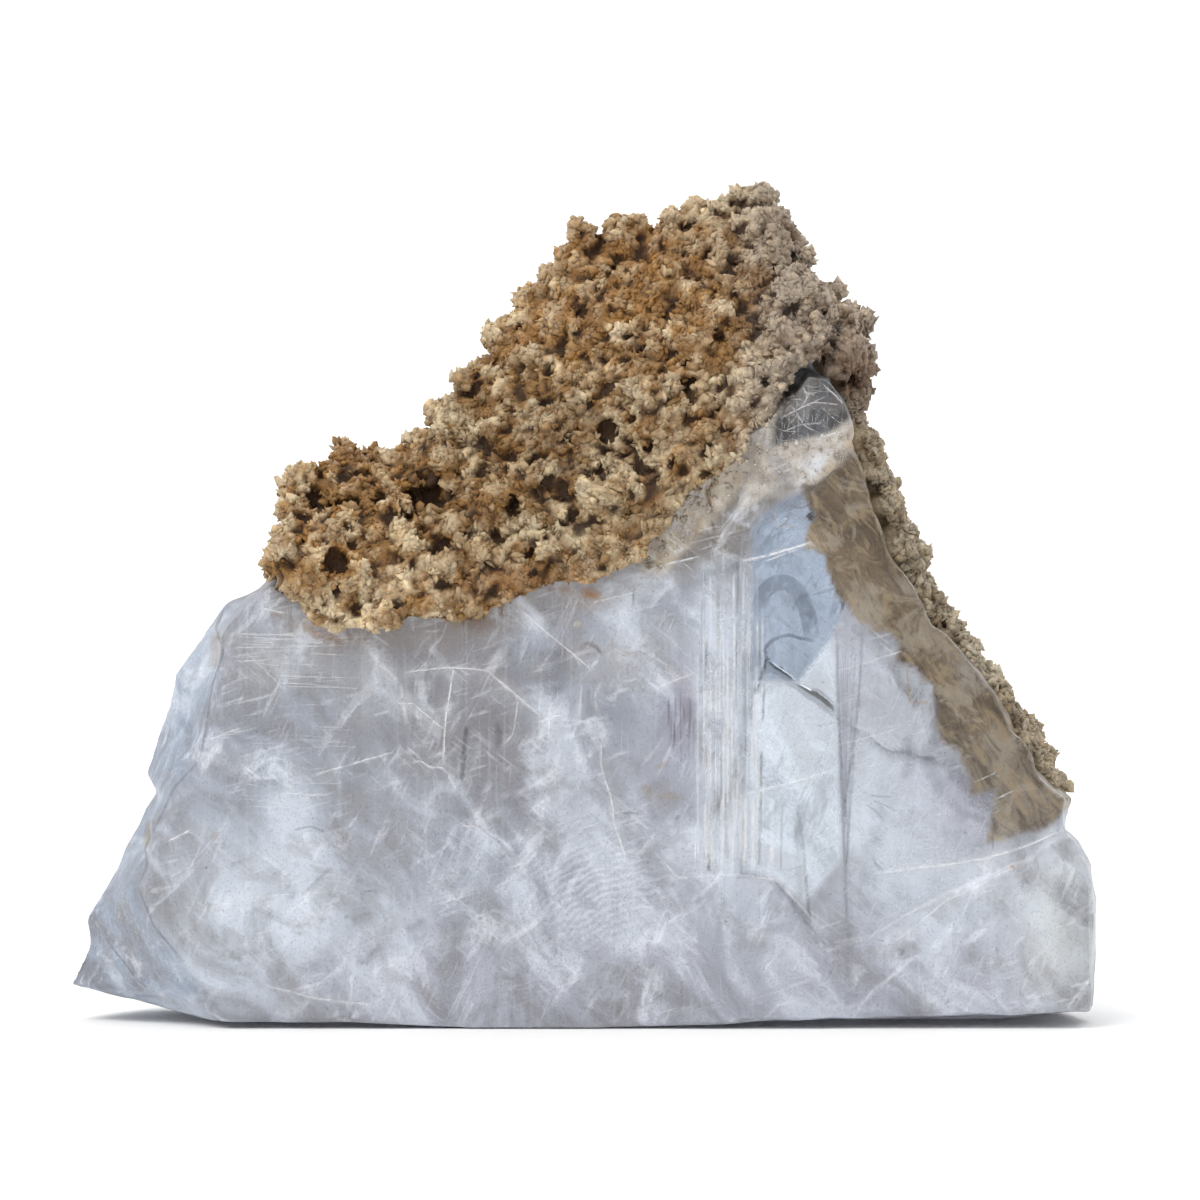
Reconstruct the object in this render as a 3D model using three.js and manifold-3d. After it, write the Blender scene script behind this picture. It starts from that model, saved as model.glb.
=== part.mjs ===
// A thick cleavage slab of clear gypsum (selenite) that stands on its cut base. A sugary crust of small
// gypsum crystals grows on its upper left bevel, and a thinner brown crust on its back right bevel.
// Millimetres, X to the right, Y from the front cleavage face to the back, Z up.
import * as THREE from "three";
import { mergeVertices } from "three/addons/utils/BufferGeometryUtils.js";
import Module from "manifold-3d";

const wasm = await Module();
wasm.setup();

// Driving dimensions
const SLAB_DEPTH = 44; // between the two cleavage faces
const RING_DEPTHS = [0, 7, 18, 31, SLAB_DEPTH]; // where the slab's rim is drawn, from front to back
const SKIN_GAP = 0.5; // between the slab and what grows on it
const RIM_CHIP = 0.9; // how far the broken rim strays from its line
const VIEW_RISE = 0.07; // heights are read from a view four degrees above level: what lies back looks higher
const BASE_HEIGHT = 3; // rim points lower than this belong to the base
const LIP = 2.6; // how far the crust's foot stands proud of the front face
const CRUST_SWELL = 5.5; // how far the crust's belly stands off the line from foot to ridge
const CRUST_SWELL_SHARE = 0.2; // but no more than this share of that line
const RIDGE_LOW = { seenZ: 98, y: 12 }; // the ridge leans back as the crust climbs
const RIDGE_HIGH = { seenZ: 160, y: 33 };
const FOOT_CLIMBS_FROM = 11; // the station where the crust's foot leaves the front face for the bevel
const FOOT_CLIMB = 21; // how far back it gets by the last station
const CRUST_OVERHANG = 2.5; // how far the crust reaches past the slab's back face
const CRUST_TAIL = 9; // how far it hangs down there
const EDGE_SWELL = 2.2; // how far the edge crust stands out past the slab's rim
const WINDOW_DEPTH = 1.5; // the clear window lies this far behind the front face
const CLEAVAGE_GROOVES = 9; // upright steps beside the window
const FACE_LUMPS = { apart: 0.31, radius: 3.4, spread: 2.4, sink: 0.45 }; // on the crust's face
const TOP_LUMPS = { radius: 4, spread: 1.8, sink: 0.3, drop: 0.5 }; // behind its ridge
const EDGE_LUMPS = { radius: 2.4, spread: 1.6, sink: 0.4, stray: 5 }; // on the edge crust
const SEEDS = { rim: 11, steps: 5, bosses: 17, lumps: 29, edge: 41 };

// The slab's rim from the base's left end, anticlockwise as seen from the front. Each row has X and Z of the
// rim at the front face, at its widest line near the middle of the thickness, and at the back face.
const RIM = [
  [-70, 1, -74, 0, -62, 0],
  [-45, 1, -45, 0, -43, 0],
  [-22, 0, -22, 0, -20, 0],
  [3, 0, 3, 0, 3, 0],
  [25, 0.5, 25, 0, 25, 0],
  [40, 1.5, 40, 0, 40, 0],
  [62, 2, 62, 0, 60, 0],
  [81, 2.5, 81, 0, 78, 0],
  [99, 3, 100, 2.5, 93, 0],
  [99.5, 13.5, 100, 14, 94, 13],
  [99.5, 24.5, 100.5, 25, 94, 25],
  [98, 31.5, 99, 32, 92, 32],
  [96, 36, 97, 37, 89, 35],
  [93.5, 38.5, 94.5, 39.5, 85, 38],
  [94, 45, 95.5, 45, 82, 44],
  [89, 50, 90, 49.5, 78, 49],
  [86, 56, 87, 55, 75, 54],
  [82, 62, 83, 61, 70, 60],
  [78, 68, 79, 66, 66, 65],
  [73, 74, 74, 71.5, 62.5, 69],
  [68, 80, 69, 77, 58.5, 74],
  [64, 87, 65, 84, 55, 80],
  [60, 94, 60.5, 91, 52, 87],
  [57.5, 102, 58, 99, 50, 95],
  [54.5, 110, 55, 107, 48, 104],
  [52, 116, 52.5, 114, 47, 113],
  [49.5, 121.5, 50.5, 121, 47.5, 124],
  [47, 121.5, 48.5, 129, 48, 135],
  [40, 121.5, 41, 135, 42, 145],
  [32, 116, 33.5, 137, 34, 151],
  [23, 109, 24.5, 133, 25, 151],
  [11.5, 100, 13, 126, 14, 147],
  [-0.5, 94, 0, 120, 1, 142],
  [-12, 90, -11, 112, -10, 132],
  [-23.5, 87, -22.5, 104, -21, 119],
  [-35, 85, -33, 97.5, -31, 106],
  [-47, 84, -46.5, 95, -45, 101],
  [-56, 85, -55, 91, -52.5, 95.5],
  [-61, 86, -59.5, 89, -57, 90.5],
  [-66.5, 83, -64.5, 86, -61.5, 86.5],
  [-70.5, 76, -69.5, 82.5, -66, 83],
  [-71.5, 68, -75, 75.5, -71, 76],
  [-72.5, 61.5, -80, 69, -74, 68],
  [-73.5, 54.5, -81.5, 63, -75, 61],
  [-76.5, 48.5, -83.5, 56.5, -77, 55],
  [-79.5, 45.5, -86, 49, -78.5, 49],
  [-80.5, 43, -84, 46.5, -78, 45],
  [-82.5, 39.5, -85.5, 42.5, -79.5, 42],
  [-84.5, 35.5, -88, 37.5, -82, 37],
  [-85, 30.5, -91.5, 31, -84, 30.5],
  [-86.5, 26.5, -95, 26, -86, 26],
  [-84, 21, -98, 21.5, -87, 22],
  [-82, 18, -97, 17, -87, 18.5],
  [-79.5, 14.5, -99, 14, -88, 14.5],
  [-76, 10, -100.5, 7.5, -87, 8],
  [-73.5, 6, -89, 5.5, -80, 3.5],
];

// Stations along the upper crust, from its left nose to the summit's right shoulder: X and Z of its foot on
// the bevel, then X and Z of its ridge.
const CRUST_STATIONS = [
  [-59.5, 92.5, -58, 98],
  [-57, 83, -55, 104],
  [-49, 77, -47.5, 111],
  [-40.5, 78.5, -41, 110],
  [-32.5, 79.5, -34, 111],
  [-24.5, 78, -29, 117],
  [-16, 81.5, -23.5, 123.5],
  [-7, 86, -18, 131],
  [2, 86, -12, 140],
  [11.5, 91.5, -4, 150],
  [21, 104, 6, 153],
  [30, 110, 15.5, 157],
  [37, 121.5, 26, 160],
  [42.5, 129, 35.5, 161],
  [48.5, 131, 39.5, 153],
  [51.5, 127, 50.5, 141],
  [51, 122.5, 53, 131],
];

// Knobs that break the crust's outline: X, Z, how far back they sit and their radius.
const OUTLINE_KNOBS = [
  [-57.5, 100, 9, 2.6],
  [-54.5, 106, 14, 2.8],
  [-46.5, 113.5, 22, 3.2],
  [-42, 112.5, 24, 2.4],
  [-35.5, 112, 25, 2.6],
  [-27.5, 120.5, 27, 3],
  [-20, 130, 30, 2.8],
  [-15, 137.5, 32, 3],
  [-11, 143, 34, 2.8],
  [-7, 148, 35, 2.6],
  [-4, 152, 36, 2.8],
  [0, 157, 32, 3.4],
  [3.5, 153.5, 34, 3],
  [17.5, 159.5, 34, 3.2],
  [21.5, 159, 34, 2.6],
  [27, 161.5, 35, 3.2],
  [30, 163.5, 35, 3.2],
  [35, 164, 35, 3.4],
  [38, 158, 34, 3],
  [42, 151.5, 34, 2.8],
  [48.5, 145, 32, 2.8],
  [54, 139.5, 27, 3.6],
  [53.5, 133.5, 25, 3.2],
  [54, 129, 23, 3.4],
  [53.5, 125, 22, 3],
];

// Swellings on the crust's face: X, Z and radius. Their depth follows the face.
const BOSSES = [
  [-36.5, 98, 8],
  [-4.5, 115, 8.5],
  [-46.5, 108, 6],
  [-51, 84, 5],
  [-22, 84, 5.5],
  [1.5, 103, 6.5],
  [11.5, 124.5, 7],
  [23, 134, 7],
  [30.5, 143, 7],
  [-25.5, 109, 6],
  [3.5, 142, 6],
  [40, 143, 6],
  [-53, 92, 5],
  [-8, 94.5, 5.5],
  [15, 108, 5.5],
  [24, 116, 5],
];

// Hollows in the crust's face: X, Z and radius.
const HOLLOWS = [
  [-29, 104.5, 4.2],
  [-34, 103.5, 3],
  [-39.5, 104, 3.2],
  [-46, 103, 2.8],
  [-47.5, 91.5, 3],
  [25, 151, 2.6],
  [18, 141.5, 2.6],
  [10.5, 134, 2.8],
  [4.5, 117.5, 2.8],
  [13, 113.5, 2.4],
  [-5.5, 106, 2.6],
  [-13.5, 101.5, 2.8],
  [20.5, 125.5, 2.6],
  [-16.5, 95.5, 2.6],
];

// Stations along the edge crust, from the apex down the right bevel: X and Z of its outer line on the rim,
// then X and Z of its inner line at the back face.
const EDGE_STATIONS = [
  [53, 116, 45.5, 106],
  [55.5, 112, 48, 100],
  [57.5, 107, 48.5, 95.5],
  [60, 101, 51.5, 90],
  [62.5, 94.5, 52.5, 84],
  [65, 88, 54.5, 80],
  [68, 81.5, 59, 75.5],
  [71.5, 76, 63, 71],
  [76, 70.5, 67.5, 65],
  [80.5, 64.5, 70, 58.5],
  [84.5, 59, 72.5, 53.5],
  [88, 53, 76.5, 48],
  [91, 47, 80, 43.5],
  [92.5, 42, 82.5, 39],
];

// The clear window in the front face, where a plate has split away: X and Z, anticlockwise.
const WINDOW = [
  [31, 93.5, 32, 96.5, 35.5, 101, 40.5, 104, 44.5, 105, 48, 108, 51.5, 113],
  [62, 116.5, 80, 91.5, 97, 66, 106, 44.5, 106, 37.5, 93.5, 37.5, 89, 34.5],
  [73.5, 27.5, 62, 22.5, 55, 18, 49, 16.5, 45.5, 18.5, 42.5, 23, 37.5, 29, 31, 30],
].flat();

const CLEAVAGE_BAND = { left: 14, right: 35, bottom: 30, top: 91 }; // the upright steps left of the window

// The glassy block at the slab's upper right corner: X and Z of its outline, and its depths.
const CORNER_BLOCK = {
  outline: [38, 119.5, 43.5, 127.5, 47.5, 126.5, 51, 122, 53, 116.5, 51.5, 112.5, 45, 110.5, 39, 113],
  centre: new THREE.Vector2(45.5, 118),
  front: -0.6,
  back: 13,
};

// Where thin plates have split off the back face: how deep, and X and Z of the outline.
const BACK_PLATES = [
  { depth: 1.8, outline: [-110, -5, -30, -5, -22, 40, -38, 74, -52, 110, -110, 110] },
  { depth: 2.6, outline: [30, -5, 110, -5, 110, 42, 60, 52, 36, 70, 24, 38] },
  { depth: 1.2, outline: [-12, 62, 14, 58, 22, 100, 4, 116, -18, 92] },
];

// The edge crust's section, round the rim from just behind the front edge to the back face and home through
// the slab. Each point starts on the station's outer or inner line, stands out by its reach and has a depth.
const EDGE_PROFILE = [
  { from: "outer", reach: -1, y: 9 },
  { from: "outer", reach: 0.6 * EDGE_SWELL, y: 10 },
  { from: "outer", reach: EDGE_SWELL, y: 18 },
  { from: "outer", reach: 0.8 * EDGE_SWELL, y: 27 },
  { from: "outer", reach: -3, y: 38 },
  { from: "inner", reach: 3.5, y: SLAB_DEPTH + 3 },
  { from: "inner", reach: -1.5, y: SLAB_DEPTH + 2.4 },
  { from: "inner", reach: -2.5, y: SLAB_DEPTH - 4 },
  { from: "outer", reach: -6, y: 16 },
];

// A repeatable random number from 0 to 1.
function seeded(seed) {
  let state = seed;
  return () => {
    state = (state + 0x6d2b79f5) | 0;
    let mixed = Math.imul(state ^ (state >>> 15), 1 | state);
    mixed = (mixed + Math.imul(mixed ^ (mixed >>> 7), 61 | mixed)) ^ mixed;
    return ((mixed ^ (mixed >>> 14)) >>> 0) / 4294967296;
  };
}

// The point at a depth whose height is given as it looks from the view above level.
function seenAt(x, seenZ, y) {
  return new THREE.Vector3(x, y, seenZ - y * VIEW_RISE);
}

function toSolid(geometry) {
  const bare = geometry.clone();
  bare.deleteAttribute("normal");
  bare.deleteAttribute("uv");
  const merged = mergeVertices(bare, 1e-4);
  const triVerts = new Uint32Array(merged.index.array);
  const vertProperties = new Float32Array(merged.attributes.position.array);
  const solid = new wasm.Manifold(new wasm.Mesh({ numProp: 3, vertProperties, triVerts }));
  if (solid.volume() > 0) return solid;
  triVerts.reverse();
  return new wasm.Manifold(new wasm.Mesh({ numProp: 3, vertProperties, triVerts }));
}

function toMesh(solid, name, material) {
  const { vertProperties, triVerts } = solid.getMesh();
  const geometry = new THREE.BufferGeometry();
  geometry.setAttribute("position", new THREE.BufferAttribute(new Float32Array(vertProperties), 3));
  geometry.setIndex(new THREE.BufferAttribute(new Uint32Array(triVerts), 1));
  const mesh = new THREE.Mesh(geometry, material);
  mesh.name = name;
  return mesh;
}

// Triangles that fill a ring, wound the way the ring runs.
function fillOf(ring, flatten) {
  const outline = ring.map(flatten);
  const faces = THREE.ShapeUtils.triangulateShape(outline, []);
  const first = faces[0].map((i) => outline[i]);
  const sameWay = THREE.ShapeUtils.isClockWise(first) === THREE.ShapeUtils.isClockWise(outline);
  return sameWay ? faces : faces.map(([a, b, c]) => [c, b, a]);
}

// A closed skin through rings of points, with the first and last ring filled in. For the filling, a function
// turns each of a ring's points into a point of the plane.
function skin(rings, flatten) {
  const size = rings[0].length;
  const index = [];
  for (let ring = 0; ring + 1 < rings.length; ring++) {
    for (let i = 0; i < size; i++) {
      const here = ring * size + i;
      const next = ring * size + ((i + 1) % size);
      index.push(here, here + size, next, next, here + size, next + size);
    }
  }
  const capStart = (rings.length - 1) * size;
  for (const [a, b, c] of fillOf(rings[0], flatten)) index.push(a, b, c);
  for (const [a, b, c] of fillOf(rings.at(-1), flatten)) index.push(capStart + c, capStart + b, capStart + a);
  const geometry = new THREE.BufferGeometry().setFromPoints(rings.flat());
  geometry.setIndex(index);
  return toSolid(geometry);
}

// A straight prism between two depths over an outline of X and Z numbers.
function prism(outline, front, back) {
  const corners = [];
  for (let i = 0; i < outline.length; i += 2) corners.push(new THREE.Vector2(outline[i], outline[i + 1]));
  const shape = new THREE.Shape(corners);
  const geometry = new THREE.ExtrudeGeometry(shape, { depth: back - front, bevelEnabled: false });
  geometry.rotateX(Math.PI / 2);
  geometry.translate(0, back, 0);
  return toSolid(geometry);
}

function joined(solids) {
  return solids.reduce((all, next) => all.add(next));
}

function largestBody(solid) {
  return solid.decompose().reduce((best, body) => (body.volume() > best.volume() ? body : best));
}

// The slab's rim at each depth, with a broken edge except along the base.
function slabRings() {
  const random = seeded(SEEDS.rim);
  const [front, , middle, , back] = RING_DEPTHS;
  return RING_DEPTHS.map((y) =>
    RIM.map(([frontX, frontZ, middleX, middleZ, backX, backZ]) => {
      const toBack = Math.max(0, (y - middle) / (back - middle));
      const toFront = Math.max(0, (middle - y) / (middle - front));
      const stay = 1 - toBack - toFront;
      const x = frontX * toFront + middleX * stay + backX * toBack;
      const z = frontZ * toFront + middleZ * stay + backZ * toBack;
      const chipX = (random() - 0.5) * 2 * RIM_CHIP;
      const chipZ = (random() - 0.5) * 2 * RIM_CHIP;
      if (z <= BASE_HEIGHT) return new THREE.Vector3(x, y, z);
      const point = seenAt(x + chipX, z + chipZ, y);
      point.z = Math.max(point.z, BASE_HEIGHT);
      return point;
    }),
  );
}

// The rings moved outwards all round, so that what grows on the slab keeps clear of it.
function grown(rings, gap) {
  return rings.map((ring, depth) =>
    ring.map((point, i) => {
      const before = ring[(i + ring.length - 1) % ring.length];
      const after = ring[(i + 1) % ring.length];
      const along = new THREE.Vector2(after.x - before.x, after.z - before.z).normalize();
      const y = depth === 0 ? point.y - gap : depth === rings.length - 1 ? point.y + gap : point.y;
      return new THREE.Vector3(point.x + along.y * gap, y, point.z - along.x * gap);
    }),
  );
}

const onFrontFace = (point) => new THREE.Vector2(point.x, point.z);

// The glassy block, grown outwards by a gap where something has to keep clear of it.
function cornerBlock(gap) {
  const { outline, centre, front, back } = CORNER_BLOCK;
  const wider = [];
  for (let i = 0; i < outline.length; i += 2) {
    const out = new THREE.Vector2(outline[i], outline[i + 1]).sub(centre);
    out.setLength(out.length() + gap).add(centre);
    wider.push(out.x, out.y);
  }
  return prism(wider, front - gap, back + gap);
}

// Narrow upright steps, each split back to its own depth, that lead down into the window. The further right,
// the deeper, and each ends at its own height.
function cleavageSteps() {
  const random = seeded(SEEDS.steps);
  const { left, right, bottom, top } = CLEAVAGE_BAND;
  const width = (right - left) / CLEAVAGE_GROOVES;
  const steps = [];
  for (let i = 0; i < CLEAVAGE_GROOVES; i++) {
    const x = left + i * width;
    const share = (i + 1) / (CLEAVAGE_GROOVES + 1);
    const depth = WINDOW_DEPTH * share ** 1.5 * (0.6 + 0.7 * random());
    const foot = bottom + random() * 6;
    const head = top - random() * 4;
    steps.push(prism([x, foot, x + width * 1.02, foot - 1, x + width * 1.02, head, x, head - 1.5], -1, depth));
  }
  return steps;
}

function backPlates() {
  return BACK_PLATES.map(({ depth, outline }) => prism(outline, SLAB_DEPTH - depth, SLAB_DEPTH + 2));
}

function buildSlab(rings) {
  let slab = joined([skin(rings, onFrontFace), cornerBlock(0)]);
  slab = slab.subtract(joined([prism(WINDOW, -1, WINDOW_DEPTH), ...cleavageSteps()]));
  slab = slab.subtract(joined(backPlates()));
  return largestBody(slab);
}

function slabEnvelope(rings) {
  return joined([skin(grown(rings, SKIN_GAP), onFrontFace), cornerBlock(SKIN_GAP)]);
}

function ridgeDepth(seenZ) {
  return THREE.MathUtils.mapLinear(seenZ, RIDGE_LOW.seenZ, RIDGE_HIGH.seenZ, RIDGE_LOW.y, RIDGE_HIGH.y);
}

function footDepth(station) {
  const last = CRUST_STATIONS.length - 1;
  const climb = THREE.MathUtils.clamp((station - FOOT_CLIMBS_FROM) / (last - FOOT_CLIMBS_FROM), 0, 1);
  return -LIP + climb * FOOT_CLIMB;
}

// A point of the crust's face: along the crust by station, and from foot (0) to ridge (1).
function crustFace(station, rise) {
  const low = Math.min(Math.floor(station), CRUST_STATIONS.length - 2);
  const part = station - low;
  const [footX, footZ, ridgeX, ridgeZ] = CRUST_STATIONS[low].map((value, i) =>
    THREE.MathUtils.lerp(value, CRUST_STATIONS[low + 1][i], part),
  );
  const foot = seenAt(footX, footZ, footDepth(station));
  const ridge = seenAt(ridgeX, ridgeZ, ridgeDepth(ridgeZ));
  const height = foot.distanceTo(ridge);
  const swell = Math.sin(Math.PI * rise ** 0.8) * Math.min(CRUST_SWELL, height * CRUST_SWELL_SHARE);
  const point = foot.lerp(ridge, rise);
  return point.add(new THREE.Vector3(0, -0.8, 0.45).multiplyScalar(swell));
}

// The depth of the crust's face under a point seen from the front.
function crustDepthAt(x, seenZ) {
  let best = Infinity;
  let depth = 0;
  for (let station = 0; station <= CRUST_STATIONS.length - 1; station += 0.25) {
    for (let rise = 0; rise <= 1; rise += 0.05) {
      const point = crustFace(station, rise);
      const miss = Math.hypot(point.x - x, point.z + point.y * VIEW_RISE - seenZ);
      if (miss < best) {
        best = miss;
        depth = point.y;
      }
    }
  }
  return depth;
}

// The crust's closed section at a station: up its face, over the top and a little way down the slab's back.
function crustSection(station) {
  const rises = [0, 0.2, 0.45, 0.7, 0.9, 1];
  const face = rises.map((rise) => crustFace(station, rise));
  const foot = face[0];
  const ridge = face.at(-1);
  const [, , ridgeX, ridgeZ] = CRUST_STATIONS[station];
  const back = SLAB_DEPTH + CRUST_OVERHANG;
  const lean = new THREE.Vector3(foot.x - ridge.x, 0, foot.z - ridge.z).normalize();
  const top = seenAt(ridgeX, ridgeZ - 1.5, (ridge.y + back) / 2);
  const shoulder = seenAt(ridgeX, ridgeZ - 2.5, back - 1);
  const tail = shoulder.clone().addScaledVector(lean, CRUST_TAIL).setY(back);
  const inside = ridge.clone().addScaledVector(lean, CRUST_TAIL * 1.3).setY(ridge.y);
  return [...face, top, shoulder, tail, inside];
}

// A crumpled lump of crystals.
function lump(centre, radius, random) {
  const geometry = new THREE.IcosahedronGeometry(radius);
  geometry.deleteAttribute("normal");
  geometry.deleteAttribute("uv");
  const merged = mergeVertices(geometry, 1e-3);
  const corner = new THREE.Vector3();
  for (let i = 0; i < merged.attributes.position.count; i++) {
    corner.fromBufferAttribute(merged.attributes.position, i).multiplyScalar(0.78 + 0.44 * random());
    merged.attributes.position.setXYZ(i, corner.x, corner.y, corner.z);
  }
  merged.scale(1, 0.8 + 0.4 * random(), 0.8 + 0.3 * random());
  merged.rotateX(random() * Math.PI);
  merged.rotateZ(random() * Math.PI);
  merged.translate(centre.x, centre.y, centre.z);
  return toSolid(merged);
}

function onCrust(x, seenZ, sink) {
  return seenAt(x, seenZ, crustDepthAt(x, seenZ) + sink);
}

// Small lumps strewn over the crust's face, its top and its tail.
function crustLumps() {
  const random = seeded(SEEDS.lumps);
  const lumps = [];
  const last = CRUST_STATIONS.length - 1;
  for (let station = 0; station <= last; station++) {
    for (let rise = 0.03; rise < 1; rise += FACE_LUMPS.apart) {
      const centre = crustFace(Math.min(last, station + random() * 0.8), Math.min(1, rise + random() * 0.24));
      const radius = FACE_LUMPS.radius + FACE_LUMPS.spread * random();
      centre.y += radius * FACE_LUMPS.sink;
      lumps.push(lump(centre, radius, random));
    }
    const [, , , , , ridge, top, shoulder, tail] = crustSection(station);
    const centre = station % 2 ? ridge.lerp(top, 0.4 + random() * 0.6) : shoulder.lerp(tail, random() * 0.8);
    const radius = TOP_LUMPS.radius + TOP_LUMPS.spread * random();
    centre.z -= radius * TOP_LUMPS.drop;
    centre.y -= radius * TOP_LUMPS.sink;
    lumps.push(lump(centre, radius, random));
  }
  return lumps;
}

function buildCrust(envelope) {
  const random = seeded(SEEDS.bosses);
  const body = skin(
    CRUST_STATIONS.map((_, station) => crustSection(station)),
    (point) => new THREE.Vector2(point.y, point.z),
  );
  const knobs = OUTLINE_KNOBS.map(([x, z, y, radius]) => lump(seenAt(x, z - radius * 0.4, y), radius, random));
  const bosses = BOSSES.map(([x, z, radius]) => lump(onCrust(x, z, radius * 0.6), radius, random));
  const hollows = HOLLOWS.map(([x, z, radius]) => lump(onCrust(x, z, -0.5), radius, random));
  const crust = joined([body, ...bosses, ...crustLumps(), ...knobs]).subtract(joined(hollows));
  return largestBody(crust.subtract(envelope));
}

function edgeSection([outerX, outerZ, innerX, innerZ]) {
  const out = new THREE.Vector3(outerX - innerX, 0, outerZ - innerZ).normalize();
  return EDGE_PROFILE.map(({ from, reach, y }) => {
    const start = from === "outer" ? seenAt(outerX, outerZ, y) : seenAt(innerX, innerZ, y);
    return start.addScaledVector(out, reach);
  });
}

function buildEdgeCrust(envelope) {
  const random = seeded(SEEDS.edge);
  const sections = EDGE_STATIONS.map(edgeSection);
  const body = skin(sections, (point) => new THREE.Vector2(point.y, point.z));
  const lumps = [];
  for (let low = 0; low + 1 < sections.length; low++) {
    for (const rib of low % 2 ? [1, 3] : [2, 4, 1]) {
      const centre = sections[low][rib].clone().lerp(sections[low + 1][rib], random());
      const radius = EDGE_LUMPS.radius + EDGE_LUMPS.spread * random();
      centre.y += (random() - 0.5) * EDGE_LUMPS.stray;
      centre.x -= radius * EDGE_LUMPS.sink;
      lumps.push(lump(centre, radius, random));
    }
  }
  return largestBody(joined([body, ...lumps]).subtract(envelope));
}

// Puts the origin under the middle of the whole part, at the level that it stands on.
function centreOnBase(group) {
  const box = new THREE.Box3().setFromObject(group);
  const middle = box.getCenter(new THREE.Vector3());
  for (const mesh of group.children) mesh.geometry.translate(-middle.x, -middle.y, -box.min.z);
}

const clearGypsum = new THREE.MeshStandardMaterial({ color: 0xc3c9d6, roughness: 0.25, metalness: 0 });
const sugaryGypsum = new THREE.MeshStandardMaterial({ color: 0xa08766, roughness: 0.85, metalness: 0 });
const brownGypsum = new THREE.MeshStandardMaterial({ color: 0x8b7558, roughness: 0.9, metalness: 0 });

const rings = slabRings();
const envelope = slabEnvelope(rings);
const part = new THREE.Group();
part.add(toMesh(buildSlab(rings), "slab", clearGypsum));
part.add(toMesh(buildCrust(envelope), "crust", sugaryGypsum));
part.add(toMesh(buildEdgeCrust(envelope), "edge_crust", brownGypsum));
centreOnBase(part);

export default part;
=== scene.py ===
"""The looks of a standing slab of clear gypsum with a sugary crust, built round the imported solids."""

import math

import bpy
import numpy as np
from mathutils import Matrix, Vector
from mathutils.bvhtree import BVHTree


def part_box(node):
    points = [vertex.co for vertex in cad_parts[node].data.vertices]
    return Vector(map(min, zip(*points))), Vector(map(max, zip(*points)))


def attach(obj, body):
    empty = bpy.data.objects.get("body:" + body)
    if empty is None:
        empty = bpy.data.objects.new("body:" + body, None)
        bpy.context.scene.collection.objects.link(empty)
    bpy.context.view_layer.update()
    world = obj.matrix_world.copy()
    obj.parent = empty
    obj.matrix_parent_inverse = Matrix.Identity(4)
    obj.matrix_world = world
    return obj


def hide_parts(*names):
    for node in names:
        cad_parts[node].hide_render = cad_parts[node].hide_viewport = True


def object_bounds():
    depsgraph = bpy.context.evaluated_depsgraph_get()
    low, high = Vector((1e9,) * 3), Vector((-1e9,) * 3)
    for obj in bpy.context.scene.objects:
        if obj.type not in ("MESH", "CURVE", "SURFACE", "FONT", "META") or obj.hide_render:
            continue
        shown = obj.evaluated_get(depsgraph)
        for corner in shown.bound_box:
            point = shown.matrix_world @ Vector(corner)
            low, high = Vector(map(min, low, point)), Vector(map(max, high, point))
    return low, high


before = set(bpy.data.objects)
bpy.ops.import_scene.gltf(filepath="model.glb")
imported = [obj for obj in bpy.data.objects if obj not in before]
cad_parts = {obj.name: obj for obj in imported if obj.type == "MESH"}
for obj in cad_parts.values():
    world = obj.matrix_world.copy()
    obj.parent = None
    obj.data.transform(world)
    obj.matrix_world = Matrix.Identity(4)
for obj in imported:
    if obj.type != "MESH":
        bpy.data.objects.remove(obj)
cad_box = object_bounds()

MM = 0.001

# The photograph's view: real size of one of its pixels on the slab's front face, the pixel over the part's
# middle and the pixel at the foot. What lies further back looks higher by the rise.
MM_PER_PX = 0.1945
MIDDLE_PX = 582
FOOT_PX = 1030
PHOTO_PX = 1200
VIEW_ELEVATION = math.radians(4)
VIEW_RISE = math.tan(VIEW_ELEVATION)
CAMERA_DISTANCE = 3.0
BLOCK_PROUD = 0.6 * MM  # the slab's corner block stands this far in front of the front face
FRONT_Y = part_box("slab")[0].y + BLOCK_PROUD

SEEDS = {"front": 21, "plates": 11, "back": 31, "rim": 51, "clear": 41, "crust": 7, "edge": 19, "tint": 61,
         "strokes": 43, "foot": 83, "scratches": 57, "veils": 71}

# Places in the photograph, in its own pixels
WINDOW_UPPER = [
    (752, 530), (765, 512), (790, 496), (812, 490), (828, 505), (830, 545), (846, 562), (848, 600),
    (830, 640), (800, 681), (752, 681),
]
WINDOW_LOWER = [
    (752, 681), (800, 681), (830, 640), (838, 700), (842, 860), (805, 905), (775, 876), (752, 870),
]
RIGHT_CLEAR = [
    (845, 600), (875, 640), (905, 665), (935, 700), (945, 740), (985, 800), (1000, 842), (960, 893),
    (875, 935), (838, 900), (836, 700),
]
CLEAVAGE_BAND = [(698, 560), (765, 545), (763, 872), (700, 875)]
TRANSITION = [
    (640, 565), (650, 515), (700, 485), (720, 465), (760, 435), (775, 400), (856, 430), (850, 448),
    (832, 462), (826, 478), (812, 490), (790, 496), (765, 512), (745, 535), (738, 556),
]
CORNER = [
    (768, 352), (800, 354), (824, 372), (854, 398), (868, 436), (858, 452), (825, 450), (800, 462),
    (772, 452), (758, 410),
]
EDGE_STRIP = [
    (806, 486), (814, 513), (817, 543), (833, 562), (843, 599), (864, 621), (900, 641), (906, 662),
    (938, 689), (943, 728), (968, 758), (981, 791), (998, 795), (998, 841), (1054, 828), (1090, 800),
    (1040, 720), (960, 620), (880, 440), (850, 440), (828, 470),
]
LEFT_EDGE = [
    (246, 590), (226, 650), (214, 724), (204, 770), (170, 805), (150, 845), (150, 890), (166, 930),
    (200, 990), (215, 1012), (40, 1012), (60, 540), (250, 540),
]
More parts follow.
